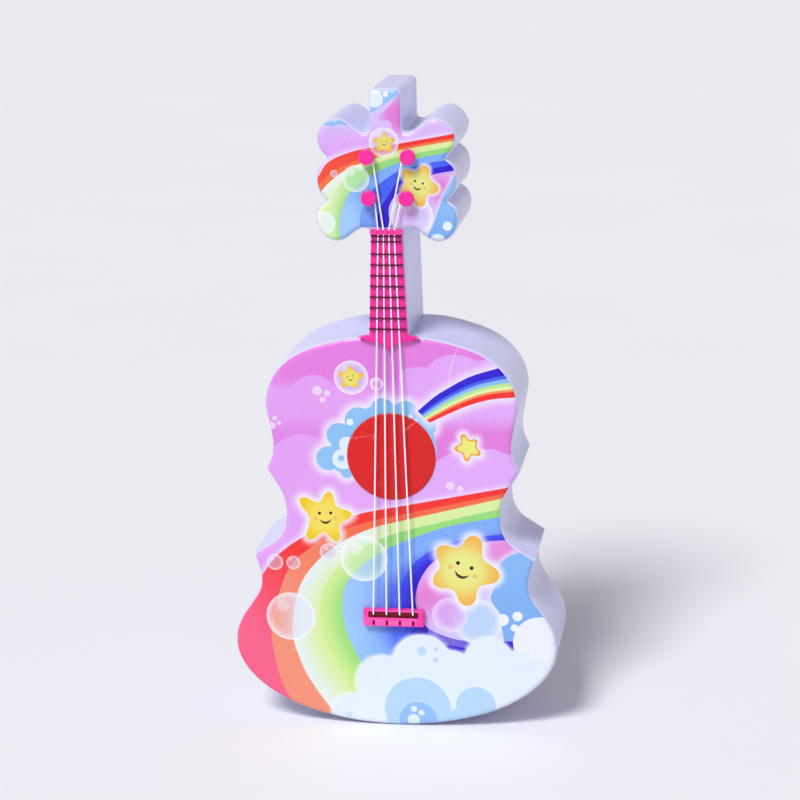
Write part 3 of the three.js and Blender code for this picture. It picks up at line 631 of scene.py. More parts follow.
def label_finish(name, main, band, grey):
    """A cell's paper jacket: dark with a coloured band near its raised end, scuffed."""
    n = Nodes(name)
    split = n.tree.nodes.new("ShaderNodeSeparateXYZ")
    n.link(n.where, split.inputs["Vector"])
    side = n.span(split.outputs["X"], 0, 1, 0.0098, 0.0102)
    scuffed = n.span(n.noise(300, 5, (0.2, 1, 1)), 0, 0.5, 0.55, 0.7)
    return n.done(n.mix(scuffed, n.mix(side, main, band), grey), n.span(scuffed, 0.3, 0.6), Metallic=0.3)


def board_finish(name):
    """A circuit board: green lacquer over lighter copper tracks."""
    n = Nodes(name)
    brick = n.tree.nodes.new("ShaderNodeTexBrick")
    brick.inputs["Scale"].default_value = 260
    brick.inputs["Color1"].default_value = (*linear(rgb("1D6B3A")), 1)
    brick.inputs["Color2"].default_value = (*linear(rgb("185C32")), 1)
    brick.inputs["Mortar"].default_value = (*linear(rgb("3E9A5A")), 1)
    turned = n.tree.nodes.new("ShaderNodeMapping")
    turned.inputs["Rotation"].default_value = (math.pi / 2, 0, 0)
    n.link(n.where, turned.inputs["Vector"])
    n.link(turned.outputs["Vector"], brick.inputs["Vector"])
    stain = n.span(n.noise(200, 4), 0, 0.3)
    n.bump(brick.outputs["Fac"], 0.04)
    return n.done(n.mix(stain, brick.outputs["Color"], "0F3F22"), n.span(n.noise(500, 3), 0.25, 0.45))


def cone_finish(name):
    """Speaker paper: dark fibres."""
    n = Nodes(name)
    fibres = n.noise(1500, 6, (1, 1, 1), 1.5)
    n.bump(fibres, 0.08)
    return n.done(n.mix(n.span(fibres, 0, 1), "18181A", "3A3838"), n.span(fibres, 0.8, 0.95))


FINISHES = {
    "casing_plastic": moulded("casing plastic", "D2D3F4", "CACBEE", "E0E1F8", (0.34, 0.46), 0.04,
                              Coat_Weight=0.15, Coat_Roughness=0.25),
    "cover_plastic": moulded("cover plastic", "D2D3F4", "CACBEE", "E0E1F8", (0.34, 0.46), 0.04, close=True,
                             Coat_Weight=0.15, Coat_Roughness=0.25),
    "printed_film": film_finish("printed film"),
    "red_disc": film_finish("red disc"),
    "pink_plastic": moulded("hot pink plastic", "F0229A", "E61A90", "F75CB2", (0.25, 0.38), 0.03,
                            Specular_IOR_Level=0.3, Coat_Weight=0.15, Coat_Roughness=0.2),
    "fret_pink": moulded("fret ink", "4E0038", "42002E", "66104C", (0.5, 0.6), 0.02, Specular_IOR_Level=0.15),
    "dark_plastic": moulded("dark brown plastic", "5C0810", "4C060C", "701A22", (0.5, 0.6), 0.03,
                            Specular_IOR_Level=0.15),
    "string_nylon": moulded("string nylon", "F4F4FC", "E6E8F6", "FFFFFF", (0.3, 0.4), 0.01,
                            Subsurface_Weight=0.15, Subsurface_Scale=0.0006),
    "steel": metal("steel", "C4C6CA", "A4A6AC"),
    "contact_steel": metal("plated contact steel", "D0CEC8", "B4B0A6", (0.25, 0.45), (0.1, 1, 1)),
    "cell_jacket": label_finish("cell jacket", "20222A", "C89A3C", "6A6C74"),
    "black_plastic": moulded("black plastic", "1A1A1E", "141418", "34343A", (0.4, 0.55), 0.04),
    "speaker_steel": metal("speaker steel", "A8AAB0", "8C8E94", (0.35, 0.5)),
    "speaker_paper": cone_finish("speaker paper"),
    "ferrite": moulded("ferrite", "3A3A3E", "2C2C30", "5A5A60", (0.55, 0.7), 0.08),
    "board_green": board_finish("circuit board"),
    "black_resin": moulded("black resin", "101012", "18181A", "26262A", (0.15, 0.3), 0.1),
    "brass_sheet": metal("brass sheet", "C9A24A", "A8842E", (0.3, 0.5), (0.1, 1, 1)),
    "ceramic_white": moulded("silvered ceramic", "D8D8D4", "C0C0BC", "ECECE8", (0.35, 0.5), 0.02),
    "wire_red": moulded("red wire skin", "C02020", "AC1818", "D84040", (0.4, 0.5), 0.02),
    "wire_black": moulded("black wire skin", "1C1C20", "141416", "38383C", (0.4, 0.5), 0.02),
}


# ---- the printed pictures: soft sky, rainbows, stars, bubbles and clouds ----

RAINBOW_RED = "F9403C"
RAINBOW_GREEN = "9DE280"
RAINBOW_BLUE, RAINBOW_DARK = "4E6CF4", "3C2CD4"


def soft(points, closed=False):
    """A smooth curve at the print's spacing."""
    return smooth(points, PRINT_STEP, closed)


def under(curve, *corners):
    """The area below a smooth curve that is given from right to left, closed over far corners."""
    return np.concatenate([soft(curve), np.array(corners, float)])


def draw_sky(p):
    """Dark pink sky behind lilac hills."""
    p.fill([
        (-90, 236), (-90, 199), *soft([(-74, 198), (-67.3, 197.2), (-60, 195), (-56.8, 194.8)]),
        *soft([(-56.6, 195), (-49.3, 201.1), (-42, 203), (-36, 201.4), (-31, 197), (-22, 189)]),
        *soft([(-20, 189), (-8, 187), (4.9, 190)]), (5.1, 206.5),
        *soft([(5.2, 206.6), (13.9, 208.2), (20.9, 208.3)]),
        *soft([(21.1, 208.5), (25, 212.4), (31, 215), (36, 215.6), (42, 214.6), (47.9, 212)]),
        *soft([(48.1, 212), (55.6, 213.6), (64, 212)]), (90, 212), (90, 236),
    ], ramp("E9A0EE", "E886E2", (0, 186), (0, 204), (0.0, 1)))
    p.fill([
        (-90, 192), (-90, 160), *soft([(-72, 156), (-65.8, 161.8), (-58, 167.4), (-49, 169.4), (-40, 167)]),
        (-30, 170), (-26, 192),
    ], ramp("E9A6F2", "E48CE6", (0, 190), (0, 166), (0.0, 0.95)))
    p.fill([
        (20, 178), (90, 194), *soft([(72, 158), (62.8, 160.6), (55, 163), (48, 161), (41, 157)]),
        *soft([(39.8, 157.4), (33, 159.9), (24.6, 154.8)]), (14, 140),
    ], ramp("E8A2F0", "E684DE", (0, 184), (0, 171), (0.0, 1)))


def draw_small_rainbow(p):
    """The short rainbow that comes out from behind the sound hole."""
    top = smooth([(15, 183.6), (24.5, 191.9), (32.8, 197.3), (43.5, 203.2), (55, 207.1), (61.3, 208.6),
                  (72, 210)], 2)
    low = smooth([(21.6, 177.2), (32.6, 182.6), (43.3, 187.3), (55.9, 190.9), (69.6, 192.1), (80, 192)], 2)
    low = spaced(low, 2)
    top = np.stack([np.interp(np.linspace(0, 1, len(low)), np.linspace(0, 1, len(top)), top[:, k])
                    for k in (0, 1)], axis=1)
    p.glow(np.concatenate([low, top[::-1]]), "F4E6FF", 6, 0.95)
    bands = [
        (0, RAINBOW_DARK), (0.26, RAINBOW_BLUE), (0.37, "8FC2FA"), (0.5, "BDEE94"),
        (0.62, "EAF8B4"), (0.72, "FA9A62"), (0.8, "F83C38"),
    ]
    for share, colour in bands:
        p.fill(np.concatenate([low, (top + share * (low - top))[::-1]]), plain(colour))


def draw_hole_cloud(p):
    """The scalloped blue cloud round the sound hole."""
    lobes = [(-35.1, 155.8, 6.9), (-29, 169.2, 6.9), (-17.8, 177.4, 7.8), (-4.4, 183.8, 6.8),
             (8.2, 182.6, 6.6), (-25, 148.3, 3.6), (18.6, 175.6, 6.6)]
    for x, z, r in lobes:
        p.glow(circle(x, z, r), "F6F0FF", 6, 0.85)
    p.fill(circle(-1, HOLE_Z + 4, HOLE_R + 1.6, 60), plain("93C6F6"))
    p.fill([(-24, 146), (-31, 149), (-36, 158), (-31, 168), (-18, 179), (-4, 184), (8, 183),
            (-10, 165)], plain("93C6F6"))
    for x, z, r in lobes:
        p.disc(x, z, r, "93C6F6")
    p.disc(-27.2, 155.5, 5.8, "EAF6FF", 0.95)
    p.disc(-24.8, 164.1, 4.2, "EAF6FF", 0.95)
    p.disc(-28, 156, 1.8, "93C6F6")
    p.disc(-22.7, 176.7, 1.9, "F2FAFF")
    p.discs([(11, 180.6, 1.1), (14, 178.4, 0.8)], "F2FAFF")


def draw_main_rainbow(p):
    """The wide rainbow that turns down to the left round the bridge."""
    far_right = [(RIGHT, LOW), (RIGHT, 150)]
    red = under([(72, 142.6), (64.9, 141.3), (9.3, 130.1), (-9.8, 126.3), (-20.8, 123.3), (-38, 116.5),
                 (-53.1, 108.5), (-64.6, 99.8), (-70.6, 92.8), (-76, 85)], (LEFT, 60), (LEFT, LOW),
                *far_right)
    p.glow(red, "F2E2FF", 4, 0.8)
    p.fill(red, ramp(RAINBOW_RED, "FA6A90", (-40, 104), (-86, 50)))
    orange_edge = [(72, 139.8), (59.8, 137.2), (9.7, 125.4), (-8, 121.2), (-26.9, 115.2), (-40.7, 107.9),
                   (-52.7, 99), (-60, 89.8), (-65, 77.3), (-69.6, 62), (-70.2, 50), (-68.3, 36.8),
                   (-65, 24), (-61, 15.6), (-56, 6)]
    p.fill(under(orange_edge, (-50, LOW), *far_right), ramp("F97250", "F8987E", (0, 120), (-68, 60)))
    yellow_edge = [(72, 137.2), (59.8, 134.6), (9.7, 121.9), (-10, 116.6), (-27, 108.8), (-39.1, 99.8),
                   (-47, 91.5), (-51.6, 84.5), (-55, 76), (-57.6, 62), (-57.5, 49.1), (-55, 40.2),
                   (-51.3, 30.5), (-45.7, 21), (-40.5, 13.5), (-34, 5)]
    p.fill(under(yellow_edge, (-28, LOW), *far_right), across(yellow_edge, 18, "ECF5F2", "DEF4A8", until=4))
    green_edge = [(72, 131.6), (60.3, 128.9), (35.7, 122.8), (10.4, 116), (-2.4, 112), (-15.2, 105.8),
                  (-28.2, 96.2), (-37.5, 84), (-41.6, 71.9), (-42, 63.8), (-39.6, 50.5), (-33.5, 35.8),
                  (-22, 18)]
    p.fill(under(green_edge, (0, LOW), *far_right), across(green_edge, 15, "D4F398", RAINBOW_GREEN, until=0))
    blue_edge = [(72, 126), (60.2, 124.2), (35.7, 119.4), (23, 115.6), (10.3, 110.6), (-2.5, 104.8),
                 (-15.4, 96.5), (-23.3, 88.4), (-28, 80.3), (-29.4, 69.6), (-28.2, 58.9), (-24.2, 46.9),
                 (-16, 32)]
    p.fill(under(blue_edge, (10, LOW), *far_right), ramp("A2CDFF", "84B2FA", (-26, 70), (0, 70)))
    middle_edge = [(72, 121.6), (60.2, 119.5), (48.3, 117.3), (35.6, 114.3), (23, 110.2), (12.7, 105),
                   (2.5, 98.2), (-4, 91.6), (-9.3, 84.8), (-12, 75.4), (-12.6, 64.7), (-11.2, 54.1),
                   (-2, 36)]
    p.fill(under(middle_edge, (20, LOW), *far_right), across(middle_edge, 13, "8AB4FC", "5470F2"))
    dark_edge = [(72, 116), (60.2, 114.3), (48.2, 112.7), (35.6, 110), (22.9, 104.8), (12.6, 97.3),
                 (6.1, 87.9), (3.4, 78.5), (3.6, 68), (6, 58), (12, 46)]
    p.fill(under(dark_edge, (30, LOW), *far_right), across(dark_edge, 7, "4C5CF0", RAINBOW_DARK))


def draw_pond(p):
    """The lilac and blue space inside the rainbow's bend."""
    rim = soft([(74, 112), (62.6, 110.9), (52, 109.9), (36, 105), (22.8, 97.6), (16.3, 89.5), (13, 81.5),
                (12.2, 73.5), (14, 65.5), (18.4, 59), (24, 55.4), (29.8, 53.4), (41.2, 51.4), (61.5, 51.8),
                (74, 51.4)])
    lilac = np.concatenate([rim, [(RIGHT, 51.4), (RIGHT, 112)]])
    p.fill(lilac, ramp("E2B8F6", "D6D2FA", (24, 84), (52, 60)))
    p.fill(lilac, spot(20, 78, 15, "EC82D4", "EC82D4", (0.85, 0), start=0.2))
    p.fill(lilac, spot(61, 104, 13, "EC86D8", "EC86D8", (0.8, 0), start=0.2))
    p.fill(lilac, spot(60, 90, 12, "F2D8FA", "F2D8FA", (0.9, 0)))
    lake = np.concatenate([
        soft([(84, 103), (74, 104.2), (66, 102.6), (59.5, 97), (58.4, 90), (56.6, 84), (54.2, 77.4),
              (56.4, 72), (59.1, 66.9), (60.6, 58), (61.6, 51.7)]),
        [(72, 50.4), (RIGHT, 50.4), (RIGHT, 103)],
    ])
    p.glow(lake, "E8ECFE", 4, 0.7)
    p.fill(lake, ramp("8CBCF6", "84B4F4", (76, 100), (62, 56)))
    p.fill([(61, 52.4), (73.6, 51.9), (73.2, 46), (64, 46)], plain(RAINBOW_DARK))
    purple = soft([(19, 58.4), (24.4, 55.6), (34, 52.6), (46, 51.2)])
    p.fill(np.concatenate([purple, [(46, 47), (19, 50)]]), plain("7A6EDC"))
    p.discs([(60.9, 64.7, 3.4), (69.1, 67, 2.8), (67.3, 60.2, 2.1)], "F2F8FF")
    p.ball(47, 63, 13.4, "BCDCFA", "F2F4FF", (0.75, 0.75), start=0.6)
    p.ball(31.3, 66.7, 10.1, "DCA8F0", "F4E6FE", (0.7, 0.7), start=0.5)


def draw_clouds(p):
    """The heaped clouds along the lower edge."""
    heap = [(-7.2, 26.3, 15.4), (-25.3, 7.1, 11.5), (15.1, 37.8, 17), (31, 30, 16), (52.8, 40.3, 14),
            (69, 34, 13)]
    p.disc(81.5, 51.8, 15, "F0F4FE")
    for x, z, r in heap:
        p.glow(circle(x, z, r), "FFFFFF", 2.2, 0.6)
    for x, z, r in heap:
        p.disc(x, z, r, "E8F3FE")
    p.fill([(-36, -10), (-16, 14), (-16, 30), (0, 36), (40, 40), (66, 43), (84, 42), (95, 30),
            (90, -10)], plain("E8F3FE"))
    p.discs([(12.4, 10.3, 18.8), (45.3, 13.3, 11.3)], "BBDDFE")
    p.fill([(20, -10), (14, 24), (32, 10), (44, 20), (56, 16), (56, -10)], plain("BBDDFE"))
    p.disc(12.6, 3.6, 10.8, "98C4FC")
    p.discs([(9.9, 3.8, 3.4), (10.2, 10.4, 1.8), (14.4, 8.2, 1.6)], "E6F3FF")
    p.discs([(15.2, 44.9, 2.8), (23.2, 46.4, 1.4), (22.8, 39.9, 1.6)], "C6E0FC")
    p.disc(-27, 5.6, 2, "C6E0FC", 0.7)


def body_picture():
    """The print of the body, from the back to the front."""
    p = Picture(ramp("E8A6F4", "E6B0FA", (-60, 190), (40, 130)))
    draw_sky(p)
    draw_hole_cloud(p)
    draw_small_rainbow(p)
    draw_main_rainbow(p)
    draw_pond(p)
    p.discs([(-40.7, 194.2, 2.7), (-35.1, 192.8, 1.8), (-37.7, 189.1, 1.6), (-66.2, 173.9, 1.9),
             (-62.4, 175.4, 1.2), (-64.7, 178.2, 1.3), (32.3, 141.4, 2.4), (37.8, 139.8, 1.8)], "F3DCFE",
            0.95)
    p.bubble(-21.5, 201.9, 9.6, "C8DCFC", 0.55)
    small = p.star([(-22, 208.4), (-28.4, 204.2), (-26.4, 196.6), (-18, 196.2), (-14.6, 203.4)],
                   "F0E878", "F6C050", 0)
    p.face(*small, 0.1)
    p.fill(circle(-7.5, 198.6, 3.6, 24), spot(-7.5, 198.6, 3.6, "E8A0E8", "FFFFFF", (0, 1), start=0.45))
    p.star([(39.4, 171), (34.9, 162.6), (41.6, 155.6), (49.4, 159.6), (47.4, 168)], "F0F284", "F2E070", 5,
           0.62, 0.18, "F4A444")
    p.face(*p.star([(-35.1, 136.7), (-51.8, 132.2), (-47.9, 109), (-31, 108.1), (-22.8, 124)],
                   "FBE468", "F4CE30", 5.5, 0.57, 0.15), 0.05)
    p.face(*p.star([(46.7, 113), (25.1, 106.1), (22.3, 84.7), (41.5, 72.2), (59.4, 89.7)],
                   "EFF08E", "F6BE5A", 5.5), -0.35)
    for x, z, r in [(-67, 94.9, 4.6), (-56.6, 94.9, 3.9), (-36.3, 101.6, 5.1)]:
        p.bubble(x, z, r, "D8CCEC", 0.5)
    p.bubble(-16.5, 98.3, 13.3, "D8F4D0", 0.45)
    p.bubble(-58.8, 63.3, 14, "F6D8DC", 0.3)
    p.fill(circle(-58.8, 63.3, 13), ramp("D8D0F6", "E8F0FC", (-70, 63), (-50, 63), (0, 0.8)))
    draw_clouds(p)
    p.stroke([(38, 222), (35.4, 214), (33, 205), (32, 196)], 0.5, plain("F6E6FC", 0.75))
    p.stroke([(-60, 44), (-56, 43.4), (-52, 43.6)], 0.4, plain("FFFFFF", 0.4))
    return p


def head_picture():
    """The print of the head: the same sky, rainbow, stars and bubbles, smaller."""
    p = Picture(ramp("E6AAFA", "DCCCFA", (0, 322), (0, 352)))
    p.fill([(-12, 364), (12, 364), (12, 360), *soft([(8, 359), (5.2, 355.5), (-1.4, 351),
                                                     (-9, 346)]), (-14, 346)], plain("9CC6F8"))
    p.disc(-5.4, 354.6, 4.6, "EAF4FF")
    p.disc(0.5, 357, 1.4, "F2F8FF")
    p.fill(soft([(8.9, 357), (9.4, 338), (4.9, 336.6), (2.6, 342.6), (-4.4, 344), (2.2, 350.6)], closed=True),
           spot(7, 346, 13, "E87CD8", "E8A0EC", (0.9, 0.25), start=0.3))
    p.fill([(-50, 330), (-9, 330), (-9, 360), (-50, 360)],
           ramp("DCB0F8", "CDD8F9", (0, 334), (0, 343), (0, 0.95)))
    p.fill(smooth([(-36, 341.6), (-27.8, 343.4), (-19.6, 341.8), (-20.1, 340.4), (-25, 341),
                   (-29.4, 340.2)], 1.2, closed=True), plain("8CBCF0", 0.9))
    far_right = [(60, 260), (60, 338)]
    red = under([(46, 338), (36.8, 336.1), (7, 330.7), (-8.6, 328.3), (-19.3, 326), (-30.9, 320.9),
                 (-36.4, 313.6), (-42, 304)], (-60, 300), (-60, 260), *far_right)
    p.glow(red, "F2E6FF", 3.5, 0.8)
    p.fill(red, ramp(RAINBOW_RED, "F85A48", (10, 328), (-36, 310)))
    p.fill(under([(46, 335.6), (36.8, 333.9), (7, 328.4), (-9, 324.4), (-20.6, 319.6), (-28.6, 315.6),
                  (-35.6, 309.4), (-42, 300)], (-60, 296), (-60, 260), *far_right), plain("FA7A4E"))
    yellow = [(46, 334.2), (36.8, 332.4), (7, 326.9), (-9, 321.6), (-20.6, 317.1), (-28.5, 311.7),
              (-34.9, 305.4), (-42, 296)]
    p.fill(under(yellow, (-60, 290), (-60, 260), *far_right),
           across(yellow, 11, "F0F8F0", "E0F5A6", until=-4))
    green = [(46, 330.6), (33.5, 328.9), (10.4, 324.2), (-0.4, 321.6), (-18.3, 314.6), (-24.7, 309),
             (-29.5, 302), (-31.6, 295), (-32.6, 286), (-32, 274)]
    p.fill(under(green, (-30, 260), *far_right), across(green, 10, "DEF6BC", RAINBOW_GREEN, until=-8))
    p.fill(under([(46, 328.6), (31.8, 325.8), (6.1, 320), (-8.9, 313), (-19.2, 305), (-23.1, 298.5),
                  (-25.8, 289.4), (-25.8, 279.9), (-25, 270)], (-20, 260), *far_right),
           ramp("A6D0FF", "86B4FA", (-24, 294), (-8, 304)))
    p.fill(under([(46, 323.8), (33.5, 321.9), (25.8, 320.9), (10.3, 317.4), (4.1, 314.5), (-5.3, 307.7),
                  (-10.9, 300.7), (-14.3, 292.5), (-14.7, 284), (-14, 270)], (-10, 260), *far_right),
           ramp("7CA6F8", RAINBOW_BLUE, (-13, 296), (0, 300)))
    p.fill(under([(46, 321), (33.4, 319.1), (23.4, 317), (13, 314), (6.3, 309.8), (2.4, 305), (-2, 298),
                  (-4.9, 291.4), (-5.8, 284.6), (-5, 270)], (0, 260), *far_right), plain(RAINBOW_DARK))
    rim = [(46, 317.6), (35.3, 316), (24.9, 314), (14, 310), (8.6, 305.7), (3.9, 301.4), (1.4, 296.4),
           (1.3, 291), (2.8, 284.7), (5, 276)]
    p.fill(under(rim, (20, 260), *far_right), ramp("E0B4F6", "D8D0FA", (30, 306), (12, 288)))
    p.fill(under(rim, (20, 260), *far_right), spot(30, 306, 10, "E878D0", "E878D0", (0.75, 0), start=0.3))
    p.fill(under(rim, (20, 260), *far_right), spot(11, 294, 9, "E4A0EC", "E4A0EC", (0.8, 0), start=0.2))
    lake = np.concatenate([soft([(38, 315.4), (36, 312), (32.5, 306), (30, 301.2), (28.8, 297), (27, 292.4),
                                 (25, 287), (21.3, 280), (18, 274)]), [(44, 270), (50, 300)]])
    p.glow(lake, "EEF0FE", 2.6, 0.7)
    p.fill(lake, ramp("9CC8F8", "84B6F4", (36, 308), (28, 282)))
    p.disc(32.8, 286.3, 2.5, "EEF6FF")
    p.disc(27.4, 277.6, 4.4, "E6F2FF")
    p.bubble(13.7, 291.6, 11.4, "DCD4FA", 0.25)
    p.bubble(-34.5, 287.5, 6.4, "EAF8FC", 0.8)
    p.bubble(-16.4, 311.7, 7.3, "B8EEB4", 0.7)
    p.bubble(-28.3, 314.4, 1.9, "D8C0E8", 0.6)
    p.bubble(-0.9, 331.3, 8.1, "E0D0FC", 0.55)
    p.face(*p.star([(-0.4, 336.6), (-6.4, 333), (-4.8, 326.8), (3, 326.6), (5, 333)], "F0E67C", "F4C254",
                   0), -0.1)
    p.discs([(10.6, 336.2, 1.5), (14.4, 336.8, 1)], "F4ECFF", 0.9)
    p.face(*p.star([(22, 319), (9.2, 316.2), (8.1, 304.6), (18.6, 296.5), (28.4, 306)], "EFF08E", "F6BE5A",
                   2.6), -0.3)
    p.stroke([(-12, 291), (-6, 295.4), (-1.6, 301)], 0.4, plain("FFFFFF", 0.55))
    return p


def disc_picture():
    """Plain red with a few scratches."""
    p = Picture(ramp("E22C28", "DC2220", (-20, 176), (20, 138)))
    p.stroke([(-24, 167.6), (-16, 168.6), (-9, 170)], 0.3, plain("F49A9A", 0.8))
    p.stroke([(-11, 166.8), (-9.6, 168.6), (-8.8, 171)], 0.3, plain("F8B0B0", 0.8))
    p.stroke([(6.6, 171), (10, 174.6), (14.4, 177.6)], 0.35, plain("F8B8B8", 0.85))
    p.stroke([(-13, 146.6), (-11.4, 149), (-10.6, 152)], 0.25, plain("F09090", 0.5))
    return p


# ---- pieces ----

def middles(stem, count):
    """The (x, z) middle of each CAD node that has the stem and a number as its name."""
    boxes = (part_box(f"{stem}_{i + 1}") for i in range(count))
    return [((low + high) / 2 / MM).xz for low, high in boxes]


PEG_PLACES = middles("tuning_peg", 4)
SCREW_PLACES = middles("cover_screw", 6)
BRIDGE_STRINGS = (-11.1, -3.7, 3.7, 11.1)
NUT_STRINGS = (-4.44, -1.48, 1.48, 4.44)
STRING_Z = 67.4
PEG_HOLES = [circle(x, z, PEG_BORE, 32) for x, z in PEG_PLACES]
STRING_HOLES = [circle(x, STRING_Z, STRING_HOLE, 16) for x in BRIDGE_STRINGS]


def front_shell():
    """The casing's front half: face with a soft edge, side walls, back rim and the bosses inside."""
    b = Builder()
    holes = PEG_HOLES + STRING_HOLES
    places, triangles = triangulate([*edge_rings(OUTLINE, EDGE_R), *holes])
    depth = distance(places, OUTLINE)
    b.flat(places, within(places, triangles, OUTLINE, holes), FACE_Y + rounding(depth, EDGE_R))
    b.wall(OUTLINE, FACE_Y + EDGE_R, BACK_Y - REAR_EDGE_R, rows=14)
    inner = inset(OUTLINE, WALL)
    rings = [inset(OUTLINE, REAR_EDGE_R * share) for share in (0.05, 0.19, 0.41, 0.69, 1)]
    places, triangles = triangulate([OUTLINE, *rings, inner])
    rim = BACK_Y - rounding(distance(places, OUTLINE), REAR_EDGE_R)
    b.flat(places, within(places, triangles, OUTLINE, [inner]), rim, flip=True)
    b.wall(inner, FACE_Y + WALL, BACK_Y, flip=True)
    places, triangles = triangulate([inner, *holes])
    b.flat(places, within(places, triangles, inner, holes), FACE_Y + WALL, flip=True)
    for hole in holes:
        b.wall(hole, FACE_Y, FACE_Y + WALL, flip=True)
    for x, z in PEG_PLACES:
        sleeve(b, x, z, 4.4, PEG_BORE, 6.2)
    for x, z in SCREW_PLACES:
        sleeve(b, x, z, 3.6, 1.8, 28)
    return b.piece("casing_front", slot="casing_plastic", replaces=["front_shell"])


def sleeve(b, x, z, outer, inner, end):
    """A boss behind the face, hollow down its middle."""
    base = FACE_Y + WALL
    b.turned([(outer, base), (outer, FACE_Y + end), (inner, FACE_Y + end), (inner, base)], x, z, 32)


def film_height(places):
    return FACE_Y - FILM + rounding(distance(places, OUTLINE), EDGE_R)


def films():
    """The two printed films, which wrap a little over the casing's soft edge."""
    ring = inset(OUTLINE, FILM_RIM)
    steps = [inset(OUTLINE, depth) for depth in (1.2, 1.7, 2.3, EDGE_R)]
    disc = circle(0, HOLE_Z, HOLE_R + HOLE_GAP, 96)
    body = ring[ring[:, 1] < NECK_LOW - 0.2]
    picture = body_picture()
    picture.loose += steps
    printed("film_body", picture, body, [disc, *STRING_HOLES], film_height, "printed_film", ["body_film"])
    neck_side, head_low = 13, 270
    above = (ring[:, 1] > NECK_HIGH) | ((abs(ring[:, 0]) > neck_side) & (ring[:, 1] > head_low))
    picture = head_picture()
    picture.loose += steps
    printed("film_head", picture, ring[above], PEG_HOLES, film_height, "printed_film", ["head_film"])


def hole_disc():
    """The red disc that stands for a sound hole, slightly raised."""
    raised, edge = 0.8, 0.5
    ring = circle(0, HOLE_Z, HOLE_R, 128)
    picture = disc_picture()
    picture.loose += [circle(0, HOLE_Z, HOLE_R - d, 96) for d in (0.1, 0.25, 0.5)]

    def height(places):
        return FACE_Y - raised + rounding(distance(places, ring), edge)
    printed("sound_hole_red", picture, ring, [], height, "red_disc", ["sound_hole_disc"])


FRET_TOP = 281.7
FRET_LOW = 226.6
FRET_NEAR = -3
FRET_LINES = [281.1, 278.2, *(271.3 - 5.9 * i for i in range(8))]


def fret_half(z):
    return 8.4 + (FRET_TOP - z) / (FRET_TOP - FRET_LOW) * 2


def fretboard():
    """The pink board with a flared foot, and its dark fret lines."""
    foot = [(12.6, 226), (16.6, 225.3), (14, 224), (11.2, 223), (8.4, 222.5), (5.4, 221.9), (2, 220.4),
            (0, 217.6)]
    right = [*spaced([(fret_half(FRET_TOP), FRET_TOP), (fret_half(FRET_LOW), FRET_LOW)], 2)[:-1],
             *smooth([(fret_half(FRET_LOW), FRET_LOW), (11.6, 226.2), (16.6, 225.3)], 0.8)[:-1],
             *smooth(foot[1:], 0.8)]
    right = np.array(right)
    ring = np.concatenate([right, right[:-1][::-1] * (-1, 1)])[::-1]
    board = Builder()
    board.slab(ring, FACE_Y + FRET_NEAR, FACE_Y - 0.05, 0.45)
    board.piece("fretboard_board", slot="pink_plastic", replaces=["fretboard"])
    lines = Builder()
    for z in FRET_LINES:
        half = fret_half(z) - 0.05
        arc = [(z + 0.42 * math.cos(t), -0.9 - 0.6 * math.sin(t)) for t in np.linspace(0, math.pi, 9)]
        arc = [(z + 0.42, 0), *arc, (z - 0.42, 0)]
        bar = [(-half, FACE_Y + FRET_NEAR + y, at) for at, y in arc]
        bar += [(half, y, at) for _, y, at in bar]
        n = len(arc)
        faces = [[i, i + 1, i + 1 + n, i + n] for i in range(n - 1)]
        lines.add(bar, [*faces, list(range(n))[::-1], list(range(n, 2 * n))])
    bars = lines.piece("fret_lines", slot="pink_plastic", replaces=["fretboard"])
    bars.data.materials[0] = FINISHES["fret_pink"]   # the same plastic, printed darker


def rectangle(x0, z0, x1, z1, r):
    """A closed ring with rounded corners."""
    ring = []
    for x, z, start in ((x1 - r, z1 - r, 0), (x0 + r, z1 - r, 1), (x0 + r, z0 + r, 2), (x1 - r, z0 + r, 3)):
        turn = (start + np.linspace(0, 1, 6)) * math.pi / 2
        ring.append(np.stack([x + r * np.cos(turn), z + r * np.sin(turn)], axis=1))
    return np.concatenate(ring)


def bridge():
    """The block that the strings come out of, with a slot and four short grooves lined in dark plastic."""
    low, high = (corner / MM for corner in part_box("bridge"))
    slot_half, slot_low, slot_high = 14.1, 65.3, 68.8
    groove_half, groove_low, groove_high = 0.7, 60.9, 63.8
    slot = rectangle(-slot_half, slot_low, slot_half, slot_high, 0.4)
    grooves = [rectangle(x - groove_half, groove_low, x + groove_half, groove_high, 0.3)
               for x in BRIDGE_STRINGS]
    block = Builder()
    block.slab(rectangle(low.x, low.z, high.x, high.z, 0.5), low.y, high.y, 0.35, [slot, *grooves])
    block.piece("bridge_block", slot="pink_plastic", replaces=["bridge"])
    lining = Builder()
    lining.slab(slot, low.y + 0.5, high.y - 0.3, 0.02, [circle(x, STRING_Z, 0.8, 24) for x in BRIDGE_STRINGS])
    for groove in grooves:
        lining.slab(groove, low.y + 0.5, high.y - 0.3, 0.02)
    lining.piece("bridge_lining", slot="dark_plastic", replaces=["bridge_slot_insert"])


